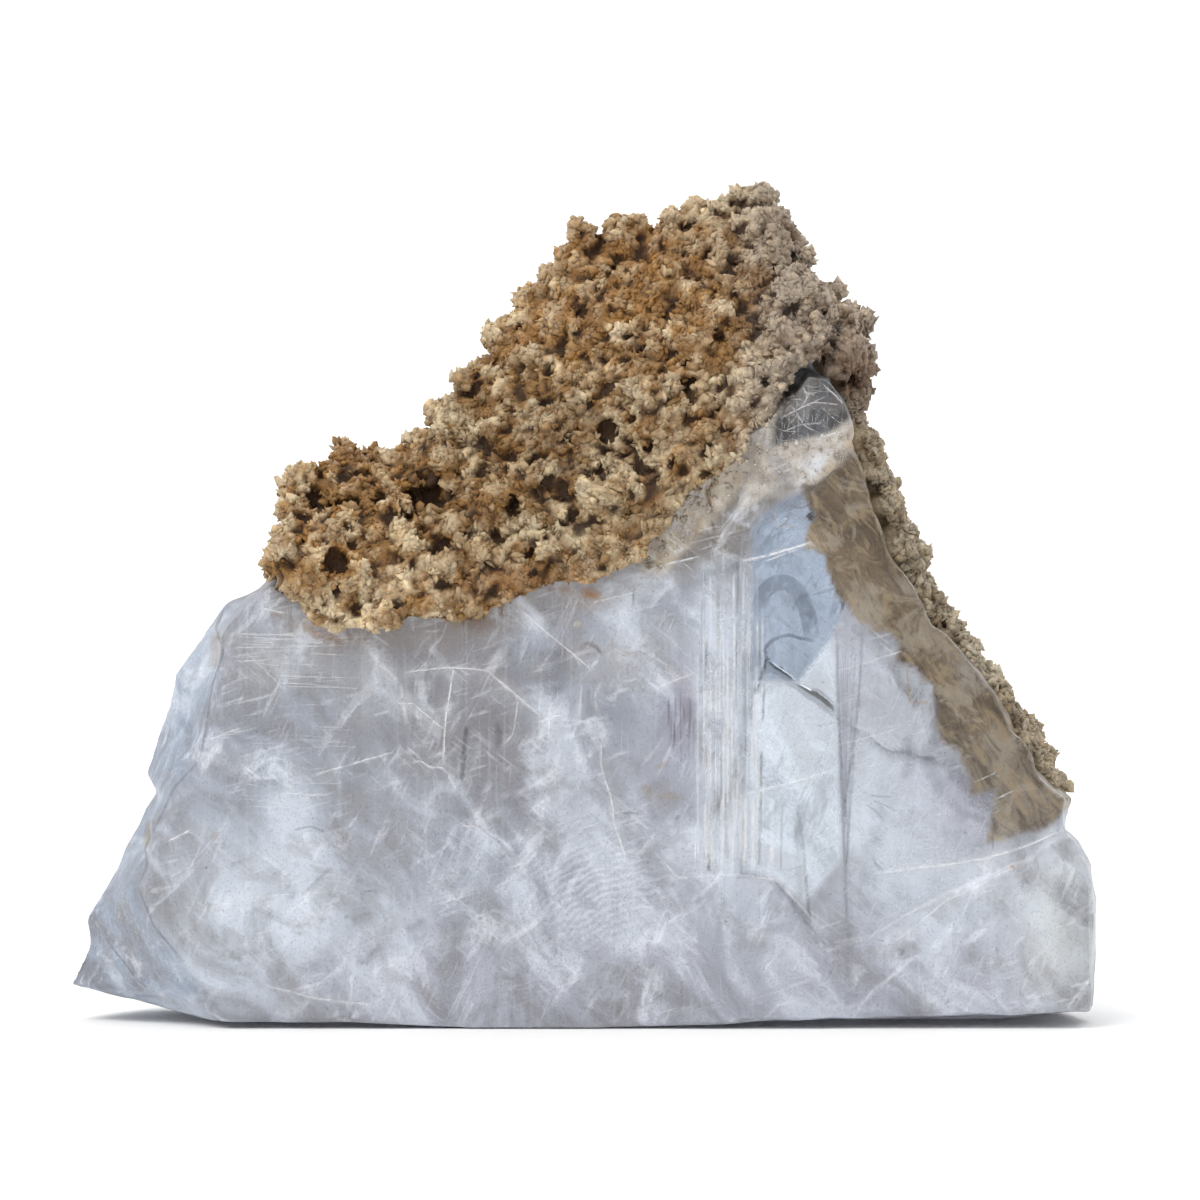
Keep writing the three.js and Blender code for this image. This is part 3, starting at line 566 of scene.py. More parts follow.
class Nodes:
    """Short calls for a material's nodes."""

    def __init__(self, name):
        self.material = bpy.data.materials.new(name)
        self.material.use_nodes = True
        self.tree = self.material.node_tree
        self.shader = self.tree.nodes["Principled BSDF"]

    def add(self, kind, **inputs):
        node = self.tree.nodes.new(kind)
        for key, value in inputs.items():
            self.put(node.inputs[key.replace("_", " ")], value)
        return node

    def put(self, socket, value):
        if isinstance(value, bpy.types.NodeSocket):
            self.tree.links.new(value, socket)
        else:
            socket.default_value = value

    def set(self, **inputs):
        for key, value in inputs.items():
            self.put(self.shader.inputs[key.replace("_", " ")], value)

    def attribute(self, name, output="Fac"):
        node = self.tree.nodes.new("ShaderNodeAttribute")
        node.attribute_name = name
        return node.outputs[output]

    def place(self, stretch=(1, 1, 1), turn=0.0):
        """The frame's own coordinates, leaning to the right by some degrees and then stretched."""
        coordinate = self.tree.nodes.new("ShaderNodeTexCoord")
        mapping = self.tree.nodes.new("ShaderNodeMapping")
        mapping.vector_type = "TEXTURE"
        mapping.inputs["Scale"].default_value = stretch
        mapping.inputs["Rotation"].default_value = (0, math.radians(turn), 0)
        self.tree.links.new(coordinate.outputs["Object"], mapping.inputs["Vector"])
        return mapping.outputs["Vector"]

    def noise(self, vector, scale, detail, roughness, distortion=0.0):
        node = self.add("ShaderNodeTexNoise", Vector=vector, Scale=scale, Detail=detail)
        node.inputs["Roughness"].default_value = roughness
        node.inputs["Distortion"].default_value = distortion
        return node.outputs["Fac"]

    def grain(self, length, turn, scale, detail, roughness, distortion=0.0):
        """Noise whose lumps are this many times as long as wide and lean to the right by some degrees."""
        return self.noise(self.place((1, 1, length), turn), scale, detail, roughness, distortion)

    def rings(self, centre, scale, distortion):
        """Fine round lines about a point of the frame."""
        node = self.tree.nodes.new("ShaderNodeVectorMath")
        node.operation = "SUBTRACT"
        self.put(node.inputs[0], self.place())
        node.inputs[1].default_value = centre
        vector = node.outputs["Vector"]
        wave = self.add("ShaderNodeTexWave", Vector=vector, Scale=scale, Distortion=distortion)
        wave.wave_type = "RINGS"
        wave.rings_direction = "Y"
        return wave.outputs["Fac"]

    def math(self, operation, a, b=0.0, clamp=False):
        node = self.tree.nodes.new("ShaderNodeMath")
        node.operation = operation
        node.use_clamp = clamp
        self.put(node.inputs[0], a)
        self.put(node.inputs[1], b)
        return node.outputs[0]

    def plus(self, a, b):
        return self.math("ADD", a, b)

    def times(self, a, b):
        return self.math("MULTIPLY", a, b)

    def less(self, a, b):
        return self.math("SUBTRACT", a, b, clamp=True)

    def most(self, a, b):
        return self.math("MAXIMUM", a, b)

    def ramp(self, value, low, high, to_low=0.0, to_high=1.0):
        node = self.tree.nodes.new("ShaderNodeMapRange")
        node.interpolation_type = "SMOOTHSTEP"
        for key, number in (("Value", value), ("From Min", low), ("From Max", high), ("To Min", to_low),
                            ("To Max", to_high)):
            self.put(node.inputs[key], number)
        return node.outputs["Result"]

    def patches(self, pattern, low, high, strength, where):
        """Where a pattern rises, or falls, past two values, within a share of the surface."""
        return self.times(self.ramp(pattern, low, high, 0.0, strength), where)

    def mix(self, factor, a, b, blend="MIX"):
        node = self.tree.nodes.new("ShaderNodeMix")
        node.data_type = "RGBA"
        node.blend_type = blend
        for socket, value in zip(MIX_INPUTS, (factor, a, b)):
            is_colour = isinstance(value, (list, tuple)) and len(value) == 3
            self.put(node.inputs[socket], (*value, 1) if is_colour else value)
        return node.outputs[MIX_RESULT]

    def bump(self, height, strength, distance):
        node = self.add("ShaderNodeBump", Height=height, Strength=strength, Distance=distance)
        return node.outputs["Normal"]


def hairs(n, turn, scale, patch):
    """Fine hairs that all lean one way and lie in patches."""
    return n.times(n.ramp(n.grain(14, turn, scale, 2, 0.6, 0.25), 0.54, 0.67),
                   n.ramp(n.grain(1.7, turn, patch, 3, 0.6, 0.6), 0.49, 0.6))


def clear_gypsum():
    """Clear gypsum, milky in places; attributes say its tone, how clear and how scratched each place is."""
    n = Nodes("clear_gypsum")
    fibre = n.grain(22, 0, 1100, 3, 0.6)
    broad = n.grain(12, 0, 260, 3, 0.6)
    wisps = n.grain(2.4, 38, 120, 5, 0.66, 1.6)
    clouds = n.grain(1.6, -35, 62, 5, 0.62, 1.0)
    curls = n.grain(1.5, -60, 85, 5, 0.6, 1.4)
    mottle = n.grain(2.6, -34, 420, 4, 0.72, 0.9)
    flecks = n.grain(1.4, -60, 130, 4, 0.7, 1.0)
    speck = n.grain(1, 0, 2300, 2, 0.6)
    brown = n.attribute("brown")
    line = n.times(n.attribute("line"), n.less(1.0, brown))
    free = n.less(1.0, n.attribute("still"))
    arcs = n.rings(place(*ARCS_CENTRE, 0), 230, 7.0)
    hatch = n.times(n.times(n.attribute("hatch"), n.ramp(arcs, 0.35, 0.8)), n.ramp(curls, 0.42, 0.55))
    vein = n.ramp(n.math("ABSOLUTE", n.math("SUBTRACT", wisps, 0.5)), 0.014, 0.0)
    vein = n.times(vein, n.ramp(clouds, 0.46, 0.6))
    hair = n.most(hairs(n, 74, 1500, 130), n.most(hairs(n, -52, 1600, 95), hairs(n, 24, 1400, 120)))
    hair = n.times(n.most(hair, vein), n.plus(n.times(free, 0.85), 0.1))
    bright = n.patches(fibre, 0.52, 0.7, 0.6, line)
    colour = n.attribute("tone", "Color")
    for share, tint in (
        (n.patches(clouds, 0.52, 0.36, 0.62, free), (124, 120, 124)),
        (n.patches(clouds, 0.5, 0.66, 0.6, free), (206, 214, 226)),
        (n.patches(curls, 0.5, 0.36, 0.4, free), (136, 132, 132)),
        (n.patches(wisps, 0.52, 0.7, 0.5, free), (224, 228, 236)),
        (n.times(hair, 0.3), (228, 231, 237)),
        (bright, (224, 233, 244)),
        (n.patches(broad, 0.48, 0.3, 0.6, line), (140, 150, 162)),
        (n.times(hatch, 0.35), (226, 228, 236)),
        (n.patches(mottle, 0.5, 0.38, 0.62, brown), (74, 56, 36)),
        (n.patches(mottle, 0.5, 0.6, 0.6, brown), (172, 150, 116)),
        (n.patches(flecks, 0.52, 0.62, 0.55, brown), (178, 166, 148)),
    ):
        colour = n.mix(share, colour, linear(*tint))
    colour = n.mix(n.ramp(speck, 0.5, 0.25, 0.0, 0.4), colour, linear(150, 148, 150), "MULTIPLY")
    milk = n.times(n.plus(n.ramp(wisps, 0.5, 0.7, 0.0, 0.25), n.ramp(clouds, 0.45, 0.65, 0.0, 0.2)), free)
    milk = n.plus(milk, n.times(hatch, 0.12))
    milk = n.plus(milk, n.times(n.most(bright, hair), 0.2))
    shown = n.less(n.attribute("clear"), milk)
    rough = n.plus(n.ramp(shown, 0.92, 0.3, 0.03, 0.4), n.times(n.ramp(fibre, 0.5, 0.8), 0.06))
    relief = n.plus(n.times(n.times(fibre, line), 0.12), n.times(n.times(wisps, free), 0.7))
    n.set(Base_Color=colour, Transmission_Weight=shown, Roughness=rough, IOR=GYPSUM_IOR,
          Normal=n.bump(relief, 0.25, 0.4 * MM))
    return n.material


def veil_gypsum(name, scale, low, high):
    """A thin milky layer inside the crystal, feathered by noise where its own attribute lets it show."""
    n = Nodes(name)
    feather = n.noise(n.place((1, 3, 2), 24), scale, 5, 0.65, 1.2)
    n.set(Base_Color=n.attribute("tint", "Color"), Roughness=0.7,
          Alpha=n.times(n.attribute("shows"), n.ramp(feather, low, high, 0.1, 1.0)))
    n.shader.inputs["Specular IOR Level"].default_value = 0.2
    return n.material


def crust_gypsum(name, shine):
    """Sugary gypsum whose colour is kept on the mesh, with finer grain from noise."""
    n = Nodes(name)
    grain = n.grain(1, 0, 1500, 3, 0.6)
    blotch = n.grain(1, 0, 300, 4, 0.6)
    ragged = n.grain(1, 0, 620, 5, 0.72, 0.6)
    colour = n.attribute("tint", "Color")
    for share, tint in (
        (n.ramp(blotch, 0.45, 0.72, 0.0, 0.9), (1.5, 1.45, 1.35)),
        (n.ramp(blotch, 0.46, 0.3, 0.0, 0.35), linear(170, 132, 88)),
        (n.ramp(grain, 0.3, 0.62, 0.35, 0.0), linear(120, 88, 54)),
    ):
        colour = n.mix(share, colour, tint, "MULTIPLY")
    relief = n.plus(ragged, n.times(grain, 0.35))
    n.set(Base_Color=colour, Roughness=n.ramp(grain, 0.3, 0.75, 0.3, 0.65), IOR=GYPSUM_IOR,
          Normal=n.bump(relief, 0.75, 0.9 * MM))
    for key, value in (("Specular IOR Level", shine), ("Subsurface Weight", 0.2),
                       ("Subsurface Radius", (1.0, 0.75, 0.5)), ("Subsurface Scale", 1.2 * MM)):
        n.shader.inputs[key].default_value = value
    return n.material


# The slab

FRONT_WINDOW = [(WINDOW_UPPER, 8, 1), (WINDOW_LOWER, 8, 1)]
WIDE_WINDOW = [(WINDOW_UPPER, 14, 1), (WINDOW_LOWER, 14, 1)]
WORN_AREAS = [(STEP_BELOW, 8, 1), (STEP_BESIDE, 8, 1)]
ROUGH_AREAS = [(TRANSITION, 8, 1), (CORNER, 8, 1.5)]
CLEAR_AREAS = [(RIGHT_CLEAR, 25, 0.74), (WINDOW_UPPER, 5, 0.95), (WINDOW_LOWER, 8, 0.93)]
CALM_AREAS = [(WINDOW_UPPER, 6, 1), (WINDOW_LOWER, 8, 1), (RIGHT_CLEAR, 20, 0.5), (EDGE_STRIP, 6, 0.75),
              (CORNER, 6, 0.9)]
AREA_TONES = [(LEFT_FACET, 8, TIP, 0.9), (CLEAVAGE_BAND, 10, PALE, 0.6), (WINDOW_LOWER, 5, SKY, 0.9),
              (WINDOW_UPPER, 4, BLUE, 0.9)]
FLAKE_EDGE = 655  # the flake's left edge and the column where it stands at its full height, in pixels
FLAKE_FULL = 700


def plate_lines(at, width, seed):
    """Upright plates of uneven width whose faces stand at different heights, from -1 to 1."""
    zero = at.px * 0
    drift = np.stack([zero, zero, at.py], axis=1)
    column = np.floor((at.px + 3 * noise(drift, 130, seed)) / width)
    start = hashed(np.stack([column, zero, zero], axis=1).astype(np.int64), seed)
    row = np.floor(at.py / 260 + start)
    return hashed(np.stack([column, zero, row], axis=1).astype(np.int64), seed + 1) * 2 - 1


def knob_cells(at):
    """Distances to the middles of the whitish knobs that the upper crust ends in, large and small."""
    seed = SEEDS["foot"]
    return at.cells(4, 1.5, 4.5, seed + 2, seed + 1)[0], at.cells(4, 1.5, 2.2, seed + 3, seed + 1)[0]


def knob_share(at):
    ragged = 10 * at.fractal(5, SEEDS["foot"] + 4)
    return np.maximum(at.area(GRAINY, 6, ragged), at.area(WHITISH, 4, ragged, -ragged))


def front_relief(at):
    """Height of the front face over its plane, in millimetres."""
    seed = SEEDS["front"]
    band = at.area(CLEAVAGE_BAND, 14)
    height = 0.16 * at.fractal(26, seed) + 0.05 * at.fractal(5, seed + 1)
    height += 0.035 * band * plate_lines(at, 8, SEEDS["plates"])
    height *= 1 - 0.95 * at.areas(FRONT_WINDOW) * (1 - band)
    first, second, number = at.cells(6, 2, 8, seed + 3, seed + 5)
    crumbs = 0.5 * (number - 0.5) + 0.3 * at.fractal(4, seed + 4) - 0.3 * ramp(second - first, 0.2, 0)
    height += at.areas(ROUGH_AREAS) * crumbs
    flake = inside(FLAKE, at.px, at.py) & (at.px > FLAKE_EDGE)
    height += 0.35 * flake * ramp(at.px, FLAKE_EDGE, FLAKE_FULL)
    lump, bit = knob_cells(at)
    return height + knob_share(at) * (1.2 * (0.5 - lump) + 0.2 * (0.5 - bit) + 0.4 * at.fractal(4, seed + 6))


def back_relief(at):
    seed = SEEDS["back"]
    plates = 0.06 * plate_lines(at, 11, seed + 2)
    height = 0.3 * at.fractal(30, seed) + 0.06 * at.fractal(6, seed + 1) + plates
    return height * (1 - 0.95 * at.areas(WIDE_WINDOW))


def strip_share(at):
    """How far a point of the front lies over the edge crust, with a ragged border."""
    ragged = 9 * at.fractal(5, SEEDS["edge"], 3)
    return at.area(EDGE_STRIP, 3, 7 + ragged, -ragged)


def crack_haze(at):
    """Crumbly whiteness along the cracks."""
    haze = np.zeros(len(at.co))
    for points, _, reach, _, strength in CRACKS:
        haze = np.maximum(haze, strength * ramp(distance_to(points, at.px, at.py), 3 + reach, 0))
    return haze * np.clip(0.35 + 0.9 * at.fractal(3, SEEDS["clear"] + 4), 0, 1)


def clearness(at):
    """How clear the slab is at each point of its front."""
    seed = SEEDS["clear"]
    clear = 0.46 + 0.14 * at.fractal(22, seed)
    clear -= 0.12 * at.area(LEFT_FACET, 10)
    clear += 0.16 * at.spot(960, 780, 150, 140) - 0.1 * at.spot(460, 960, 420, 60)
    clear = np.maximum(clear, 0.72 * at.area(CLEAVAGE_BAND, 12) + 0.14 * plate_lines(at, 6, seed))
    clear = np.maximum(clear, at.areas(CLEAR_AREAS))
    clear = clear * (1 - 0.5 * crack_haze(at))
    for share, value in ((strip_share(at), 0.4), (at.area(TRANSITION, 6), 0.25), (at.area(CORNER, 8), 0.15)):
        clear = clear * (1 - share) + value * share
    return np.clip(clear * (1 - 0.6 * knob_share(at)), 0, 1)


def strip_tone(at):
    """The mottled brown that shows through the slab's edge."""
    seed = SEEDS["edge"]
    first = at.fractal(9, seed + 3, 4)
    second = fractal(bent(at.co, 5 * MM, 2 * MM, seed + 5), 3 * MM, seed + 4, 3)
    tone = mixed(at.filled(linear(118, 100, 76)), linear(78, 62, 44), 0.9 * ramp(first + second, 0.1, -0.5))
    tone = mixed(tone, linear(168, 158, 142), 0.85 * ramp(first - 0.6 * second, 0.15, 0.6))
    tone = mixed(tone, linear(176, 172, 168), 0.6 * at.spot(975, 652, 24, 30))
    return mixed(tone, linear(150, 142, 132), 0.5 * ramp(at.py, 690, 790))


def milky_tone(at):
    """The beige between the upper crust and the window."""
    return mixed(at.filled(BEIGE), linear(160, 154, 146), ramp(at.fractal(5, SEEDS["tint"] + 7), 0, 0.6))


def corner_tone(at):
    """The dark glass of the upper right corner, with paler shards."""
    shards = at.cells(3, 1.5, 6, SEEDS["tint"] + 9, SEEDS["tint"] + 8)[2]
    return mixed(at.filled(GLASSY), linear(132, 122, 114), 0.5 * ramp(shards, 0.5, 0.95))


def knob_tone(at):
    """The whitish knobs, browner and darker between them, partly their own colour and partly painted shade.
    """
    lump, bit = knob_cells(at)
    tone = mixed(at.filled(linear(170, 156, 134)), linear(184, 176, 166), ramp(at.px, 700, 790))
    # Between the knobs: partly a browner colour, partly painted shade in the hollows.
    tone = mixed(tone, linear(134, 110, 80), 0.5 * ramp(lump + 0.3 * bit, 0.6, 1.1))
    return mixed(tone, linear(204, 196, 184), 0.5 * ramp(at.fractal(3, SEEDS["foot"] + 5), 0.0, 0.5))


def front_tone(at):
    """The colour of each point of the slab's front, with painted shade below the upper crust."""
    tone = at.filled(LAVENDER)
    shift = 26 * at.fractal(18, SEEDS["tint"]) + 9 * at.fractal(4, SEEDS["tint"] + 5)
    for *where, colour, strength in TONE_SPOTS:
        tone = mixed(tone, colour, strength * at.spot(*where, shift, -shift))
    # Painted shade below the upper crust: a warm grey that fades out away from the crust's foot.
    tone = mixed(tone, UNDER_CRUST_SHADE, 0.8 * ramp(distance_to(CRUST_FOOT, at.px + 0.5 * shift, at.py), 42, 4))
    # Brown blurs below the crust: partly the crust seen through the slab, partly painted shade.
    for *where, strength in UNDER_CRUST_BLURS:
        tone = mixed(tone, BLUR_BROWN, strength * at.spot(*where, 0.6 * shift, -0.4 * shift))
    tone = mixed(tone, CHALK, 0.7 * crack_haze(at))
    for outline, edge, colour, strength in AREA_TONES:
        tone = mixed(tone, colour, strength * at.area(outline, edge))
    tone = mixed(tone, strip_tone(at), strip_share(at))
    tone = mixed(tone, milky_tone(at), at.area(TRANSITION, 7))
    tone = mixed(tone, corner_tone(at), at.area(CORNER, 6))
    return mixed(tone, knob_tone(at), knob_share(at))


def smoothed_slab():
    """The slab's fine mesh with its worn steps and left edge smoothed, and the places of its points."""
    mesh = remeshed("slab", "SMOOTH", octree_depth=8, scale=0.93, use_remove_disconnected=False)
    co = neighbour_mean(mesh, coordinates(mesh), 1)
    move_to(mesh, co)
    at = Places(co)
    worn = at.areas(WORN_AREAS) * (co[:, 1] < FRONT_Y + 3 * MM)
    worn = np.maximum(worn, at.area(LEFT_EDGE, 6) * (co[:, 1] < FRONT_Y + 12 * MM))
    co[:, 1] += worn * (neighbour_mean(mesh, co[:, 1], 14) - co[:, 1])
    move_to(mesh, co)
    return mesh, at


def roughened(at, no):
    """The slab's points moved out or in by the relief of its front, its back and its broken rim."""
    front = ramp(-no[:, 1], 0.85, 0.97)
    back = ramp(no[:, 1], 0.85, 0.97)
    rim = (1 - front) * (1 - back) * ramp(at.co[:, 2], 0.2 * MM, 2 * MM)
    seed = SEEDS["rim"]
    chips = 0.5 * at.fractal(7, seed) + 0.35 * (cells(at.co, 6 * MM, seed + 1)[0] - 0.5)
    height = front * front_relief(at) + back * back_relief(at) - back * 0.3 + rim * (chips - 0.25)
    co = at.co + no * height[:, None] * MM
    co[:, 2] = np.maximum(co[:, 2], 0)
    return co


def make_slab(material):
    mesh, at = smoothed_slab()
    no = normals(mesh)
    at.co = roughened(at, no)
    move_to(mesh, at.co)
    facing = ramp(neighbour_mean(mesh, no[:, 1], 8), 0.7, 0.2)
    behind = 0.78 + 0.1 * at.fractal(20, SEEDS["back"])
    strip = strip_share(at)
    store(mesh, "clear", behind + facing * (clearness(at) - behind))
    store(mesh, "tone", mixed(at.filled(PALE), front_tone(at), facing))
    store(mesh, "line", 0.3 + facing * (0.8 * at.area(CLEAVAGE_BAND, 14) - 0.1))
    store(mesh, "hatch", facing * at.spot(600, 890, 70, 60))
    store(mesh, "still", facing * np.maximum(at.areas(CALM_AREAS), strip))
    store(mesh, "brown", facing * strip)
    mesh.shade_smooth()
    mesh.set_sharp_from_angle(angle=math.radians(45))
    piece = add_piece("selenite_slab", mesh, material)
    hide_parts("slab")
    return mesh


# Cracks, marks and veils inside the slab

# Depths below the slab's face, in mm
ON_FACE = -0.12  # a line that breaks the face stands a little over it
UNDER = 0.35  # what starts inside

RAY_START = -15  # where the rays that look for the face start, in front of it
TAPER = 3.2  # how fast a strip fades in from its ends
BRANCH_EVERY = 11  # pixels along a crack
SCRATCH_TURNS = [90, 90, -18, -22, 40, 38, -50]  # the directions that scratches take, in degrees
VEIL_STRENGTH = 0.5
WHITE_LINE = linear(244, 244, 246)


def moved(x, y, length, turn):
    """The pixel at some distance in a direction."""
    return (x + length * math.cos(turn), y + length * math.sin(turn))


class Strips:
    """Narrow strips on the slab's face or under it, gathered into one mesh."""

    def __init__(self, slab_tree, seed):
        self.tree = slab_tree
        self.random = np.random.default_rng(seed)
        self.co, self.faces, self.shows, self.tint, self.beside = [], [], [], [], []

    def face_depth(self, px, py):
        """How far the slab's face lies behind the front plane at a pixel, in mm, or None beside the slab."""
        start = Vector(place(px, py, RAY_START))
        hit = self.tree.ray_cast(start, Vector((0, 1, -VIEW_RISE)).normalized())[0]
        return None if hit is None else (hit.y - FRONT_Y) / MM

    def centre_line(self, points, wobble, step):
        """Points close together along a line that strays a little, and the direction across it at each."""
        path = np.array(points, float)
        lengths = np.concatenate([[0], np.cumsum(np.linalg.norm(np.diff(path, axis=0), axis=1))])
        parts = max(3, int(lengths[-1] / step) + 1)
        at = np.linspace(0, lengths[-1], parts)
        line = np.stack([np.interp(at, lengths, path[:, i]) for i in (0, 1)], axis=1)
        ahead = np.gradient(line, axis=0)
        across = np.stack([-ahead[:, 1], ahead[:, 0]], axis=1)
        across /= np.maximum(np.linalg.norm(across, axis=1, keepdims=True), 1e-9)
        stray = np.convolve(self.random.normal(0, wobble, parts + 4), (0.2, 0.2, 0.2, 0.2, 0.2), "valid")
        return line + across * stray[:, None], across

    def add(self, points, profile, colour, wobble=0.8, step=5.0):
        """A strip along points. Its profile holds pixels across, mm below the face and how well it shows."""
        line, across = self.centre_line(points, wobble, step)
        parts = len(line)
        taper = np.minimum(1, TAPER * np.sin(np.linspace(0.06, math.pi - 0.06, parts)))
        taper = taper * self.random.uniform(0.75, 1, parts)
        first = len(self.co)
        for (x, y), side, thick in zip(line, across, taper):
            for offset, below, shows in profile:
                px, py = x + side[0] * offset, y + side[1] * offset
                depth = self.face_depth(px, py)
                self.co.append(place(px, py, (depth or 0) + below))
                self.shows.append(0 if depth is None else shows * thick)
                self.beside.append(depth is None)
                self.tint.append(colour)
        width = len(profile)
        for row in range(parts - 1):
            for i in range(width - 1):
                a = first + row * width + i
                self.faces.append((a, a + 1, a + width + 1, a + width))

    def mesh(self, name):
        """The strips as one mesh, without the faces that reach past the slab."""
        faces = np.array(self.faces)
        faces = faces[~np.array(self.beside)[faces].any(axis=1)]
        used, faces = np.unique(faces, return_inverse=True)
        mesh = mesh_of(name, np.array(self.co)[used], faces.reshape(-1, 4))
        store(mesh, "shows", np.array(self.shows)[used])
        store(mesh, "tint", np.array(self.tint)[used])
        mesh.shade_smooth()
        return mesh


def crack_profile(half_width, reach, lean, strength):
    """A bright line at the face, and a faint veil that leans away into the crystal."""
    way = math.copysign(1, lean)
    line = [(-1.1, 0.0), (-0.3, strength), (0.3, strength), (1.1, strength * 0.3), (2.4, 0.0)]
    veil = [(0.3, 0.22), (0.7, 0.12), (1.0, 0.0)]
    profile = [(way * half_width * across, ON_FACE, shows) for across, shows in line]
    return profile + [(lean * share, UNDER + reach * share, shows * strength) for share, shows in veil]


def mark_profile(half_width, strength):
    shape = [(-1.0, 0.0), (-0.5, 0.65), (0.0, 1.0), (0.5, 0.65), (1.0, 0.0)]
    return [(half_width * across, ON_FACE, strength * shows) for across, shows in shape]


def stroke(strips, random, line, half_widths, strengths, colour, wobble, step=5.0):
    """A strip whose half width and strength are drawn from two ranges."""
    profile = mark_profile(random.uniform(*half_widths), random.uniform(*strengths))
    strips.add(line, profile, colour, wobble, step)


def scatter(strips, random, number, columns, rows, end_of, *looks):
    """Strokes that start anywhere in a box of pixels and end where a function of their start says."""
    for _ in range(number):
        x, y = random.uniform(*columns), random.uniform(*rows)
        stroke(strips, random, [(x, y), end_of(x, y)], *looks)


def add_branches(strips, random, points, strength):
    """Short branches on both sides of a crack."""
    for start, end in zip(points, points[1:]):
        for _ in range(int(math.dist(start, end) / BRANCH_EVERY)):
            share = random.random()
            x, y = (a + (b - a) * share for a, b in zip(start, end))
            along = math.atan2(end[1] - start[1], end[0] - start[0])
            turn = along + random.choice([-1, 1]) * random.uniform(0.2, 1.1)
            branch = [(x, y), moved(x, y, random.uniform(4, 17), turn)]
            strips.add(branch, mark_profile(random.uniform(0.5, 0.9), 0.45 * strength), WHITE_LINE, 0.5, 4)


def add_band_lines(strips, random):
    """Bright upright lines on the cleavage steps, and five wedges at their foot."""
    def foot(x, y):
        return x + random.normal(0, 1.0), min(y + random.uniform(40, 190), BAND_FOOT)

    scatter(strips, random, 70, (694, 764), (556, 860), foot, (0.6, 2.2), (0.25, 0.6), WHITE_LINE, 0.1, 12)
    for x, half_width in ((712, 3), (722, 3), (744, 2.5), (753, 3.5), (772, 4)):
        wedge = [(x, 775 + half_width * 6), (x, BAND_FOOT)]
        strips.add(wedge, mark_profile(half_width, 0.55), WHITE_LINE, 0.1, 12)


def add_level_scratches(strips, random):
    """Fine level scratches below the crust's left end, fainter further down."""
    for _ in range(110):
        x, y = random.uniform(228, 318), 634 + 180 * random.random() ** 2.2
        line = [(x, y), (x + random.uniform(10, 55), y + random.uniform(-3, 4))]
        strength = random.uniform(0.2, 0.55) if y < 695 else random.uniform(0.1, 0.3)
        strips.add(line, mark_profile(random.uniform(0.5, 0.9), strength), WHITE_LINE, 0.3, 9)


def holds(outline, x, y):
    return inside(outline, np.array([x]), np.array([y]))[0]


def add_scratches(strips, random):
    """Scratches all over the face in a few directions, but not on its calm parts."""
    for _ in range(300):
        x, y = random.uniform(150, 1080), random.uniform(640, 1005)
        if holds(EDGE_STRIP, x, y) or holds(WINDOW_LOWER, x, y) or (x < 330 and y < 830):
            continue
        turn = math.radians(random.choice(SCRATCH_TURNS) + random.normal(0, 6))
        line = [(x, y), moved(x, y, random.uniform(8, 40), turn)]
        stroke(strips, random, line, (0.4, 0.75), (0.08, 0.32), WHITE_LINE, 0.3, 7)


def add_corner_strokes(strips, random):
    """Bent strokes in the glassy corner."""
    for _ in range(160):
        x, y = random.uniform(768, 864), random.uniform(358, 462)
        if not holds(CORNER, x, y):
            continue
        turn, length = random.uniform(0, math.pi), random.uniform(5, 24)
        middle = moved(x, y, 0.5 * length, turn)
        end = moved(*middle, 0.5 * length, turn + random.normal(0, 0.5))
        stroke(strips, random, [(x, y), middle, end], (0.3, 0.6), (0.12, 0.5), WHITE_LINE, 0.6, 4)


def make_cracks(slab_tree, material):
    strips = Strips(slab_tree, SEEDS["strokes"])
    random = np.random.default_rng(SEEDS["scratches"])
    for points, half_width, reach, lean, strength in CRACKS:
        strips.add(points, crack_profile(0.75 * half_width, reach, lean, 0.8 * strength), WHITE_LINE, 0.7, 4)
        add_branches(strips, random, points, strength)
    add_band_lines(strips, random)
    add_level_scratches(strips, random)
    add_scratches(strips, random)
    add_corner_strokes(strips, random)
    add_piece("slab_cracks", strips.mesh("slab_cracks"), material)


def add_ribbon(strips):
    """The darker ribbon that curls inside the window."""
    for points, half_width, strength in WINDOW_RIBBON:
        edge = (half_width - 1.2) / half_width
        across = [(-1, 0), (-edge, strength), (edge, strength), (1, 0)]
        profile = [(half_width * offset, RIBBON_DEPTH, shows) for offset, shows in across]
        strips.add(points, profile, STEEL, 0.4)


def make_marks(slab_tree, material):
    strips = Strips(slab_tree, SEEDS["strokes"] + 1)
    for points, half_width, colour, strength in MARKS:
        strips.add(points, mark_profile(half_width, strength * 0.7), colour, 0.5)
    add_ribbon(strips)
    random = np.random.default_rng(SEEDS["scratches"] + 1)

    def below(shortest, longest):
        return lambda x, y: (x, y + random.uniform(shortest, longest))

    def close_by(x, y):
        return x + random.normal(0, 3), y + random.normal(0, 3)

    scatter(strips, random, 16, (665, 694), (688, 730), below(18, 45), (0.8, 1.6), (0.2, 0.4), VIOLET, 0.2)
    for i in range(12):
        x, y = 836 + 2.4 * i, random.uniform(629, 700)
        line = [(x, y), (0.55 * x + 380.5, 745), (0.1 * x + 761, random.uniform(790, 880))]
        stroke(strips, random, line, (0.6, 1.3), (0.2, 0.45), SMOKE, 0.4, 8)
    scatter(strips, random, 26, (699, 765), (565, 850), below(20, 90), (0.7, 1.5), (0.15, 0.35), GREEN_GREY,
            0.1, 12)
    scatter(strips, random, 70, (170, 1060), (650, 1000), close_by, (0.8, 2.2), (0.1, 0.4), GREY, 0.3)
    add_piece("slab_marks", strips.mesh("slab_marks"), material)


def deep_inside(co, cad_tree, margin):
    """Which points lie in the slab and further than a margin from its faces."""
    result = np.zeros(len(co), bool)
    for i, point in enumerate(co):
        near, normal, _, distance = cad_tree.find_nearest(Vector(point))
        result[i] = (Vector(point) - near).dot(normal) < 0 and distance > margin
    return result


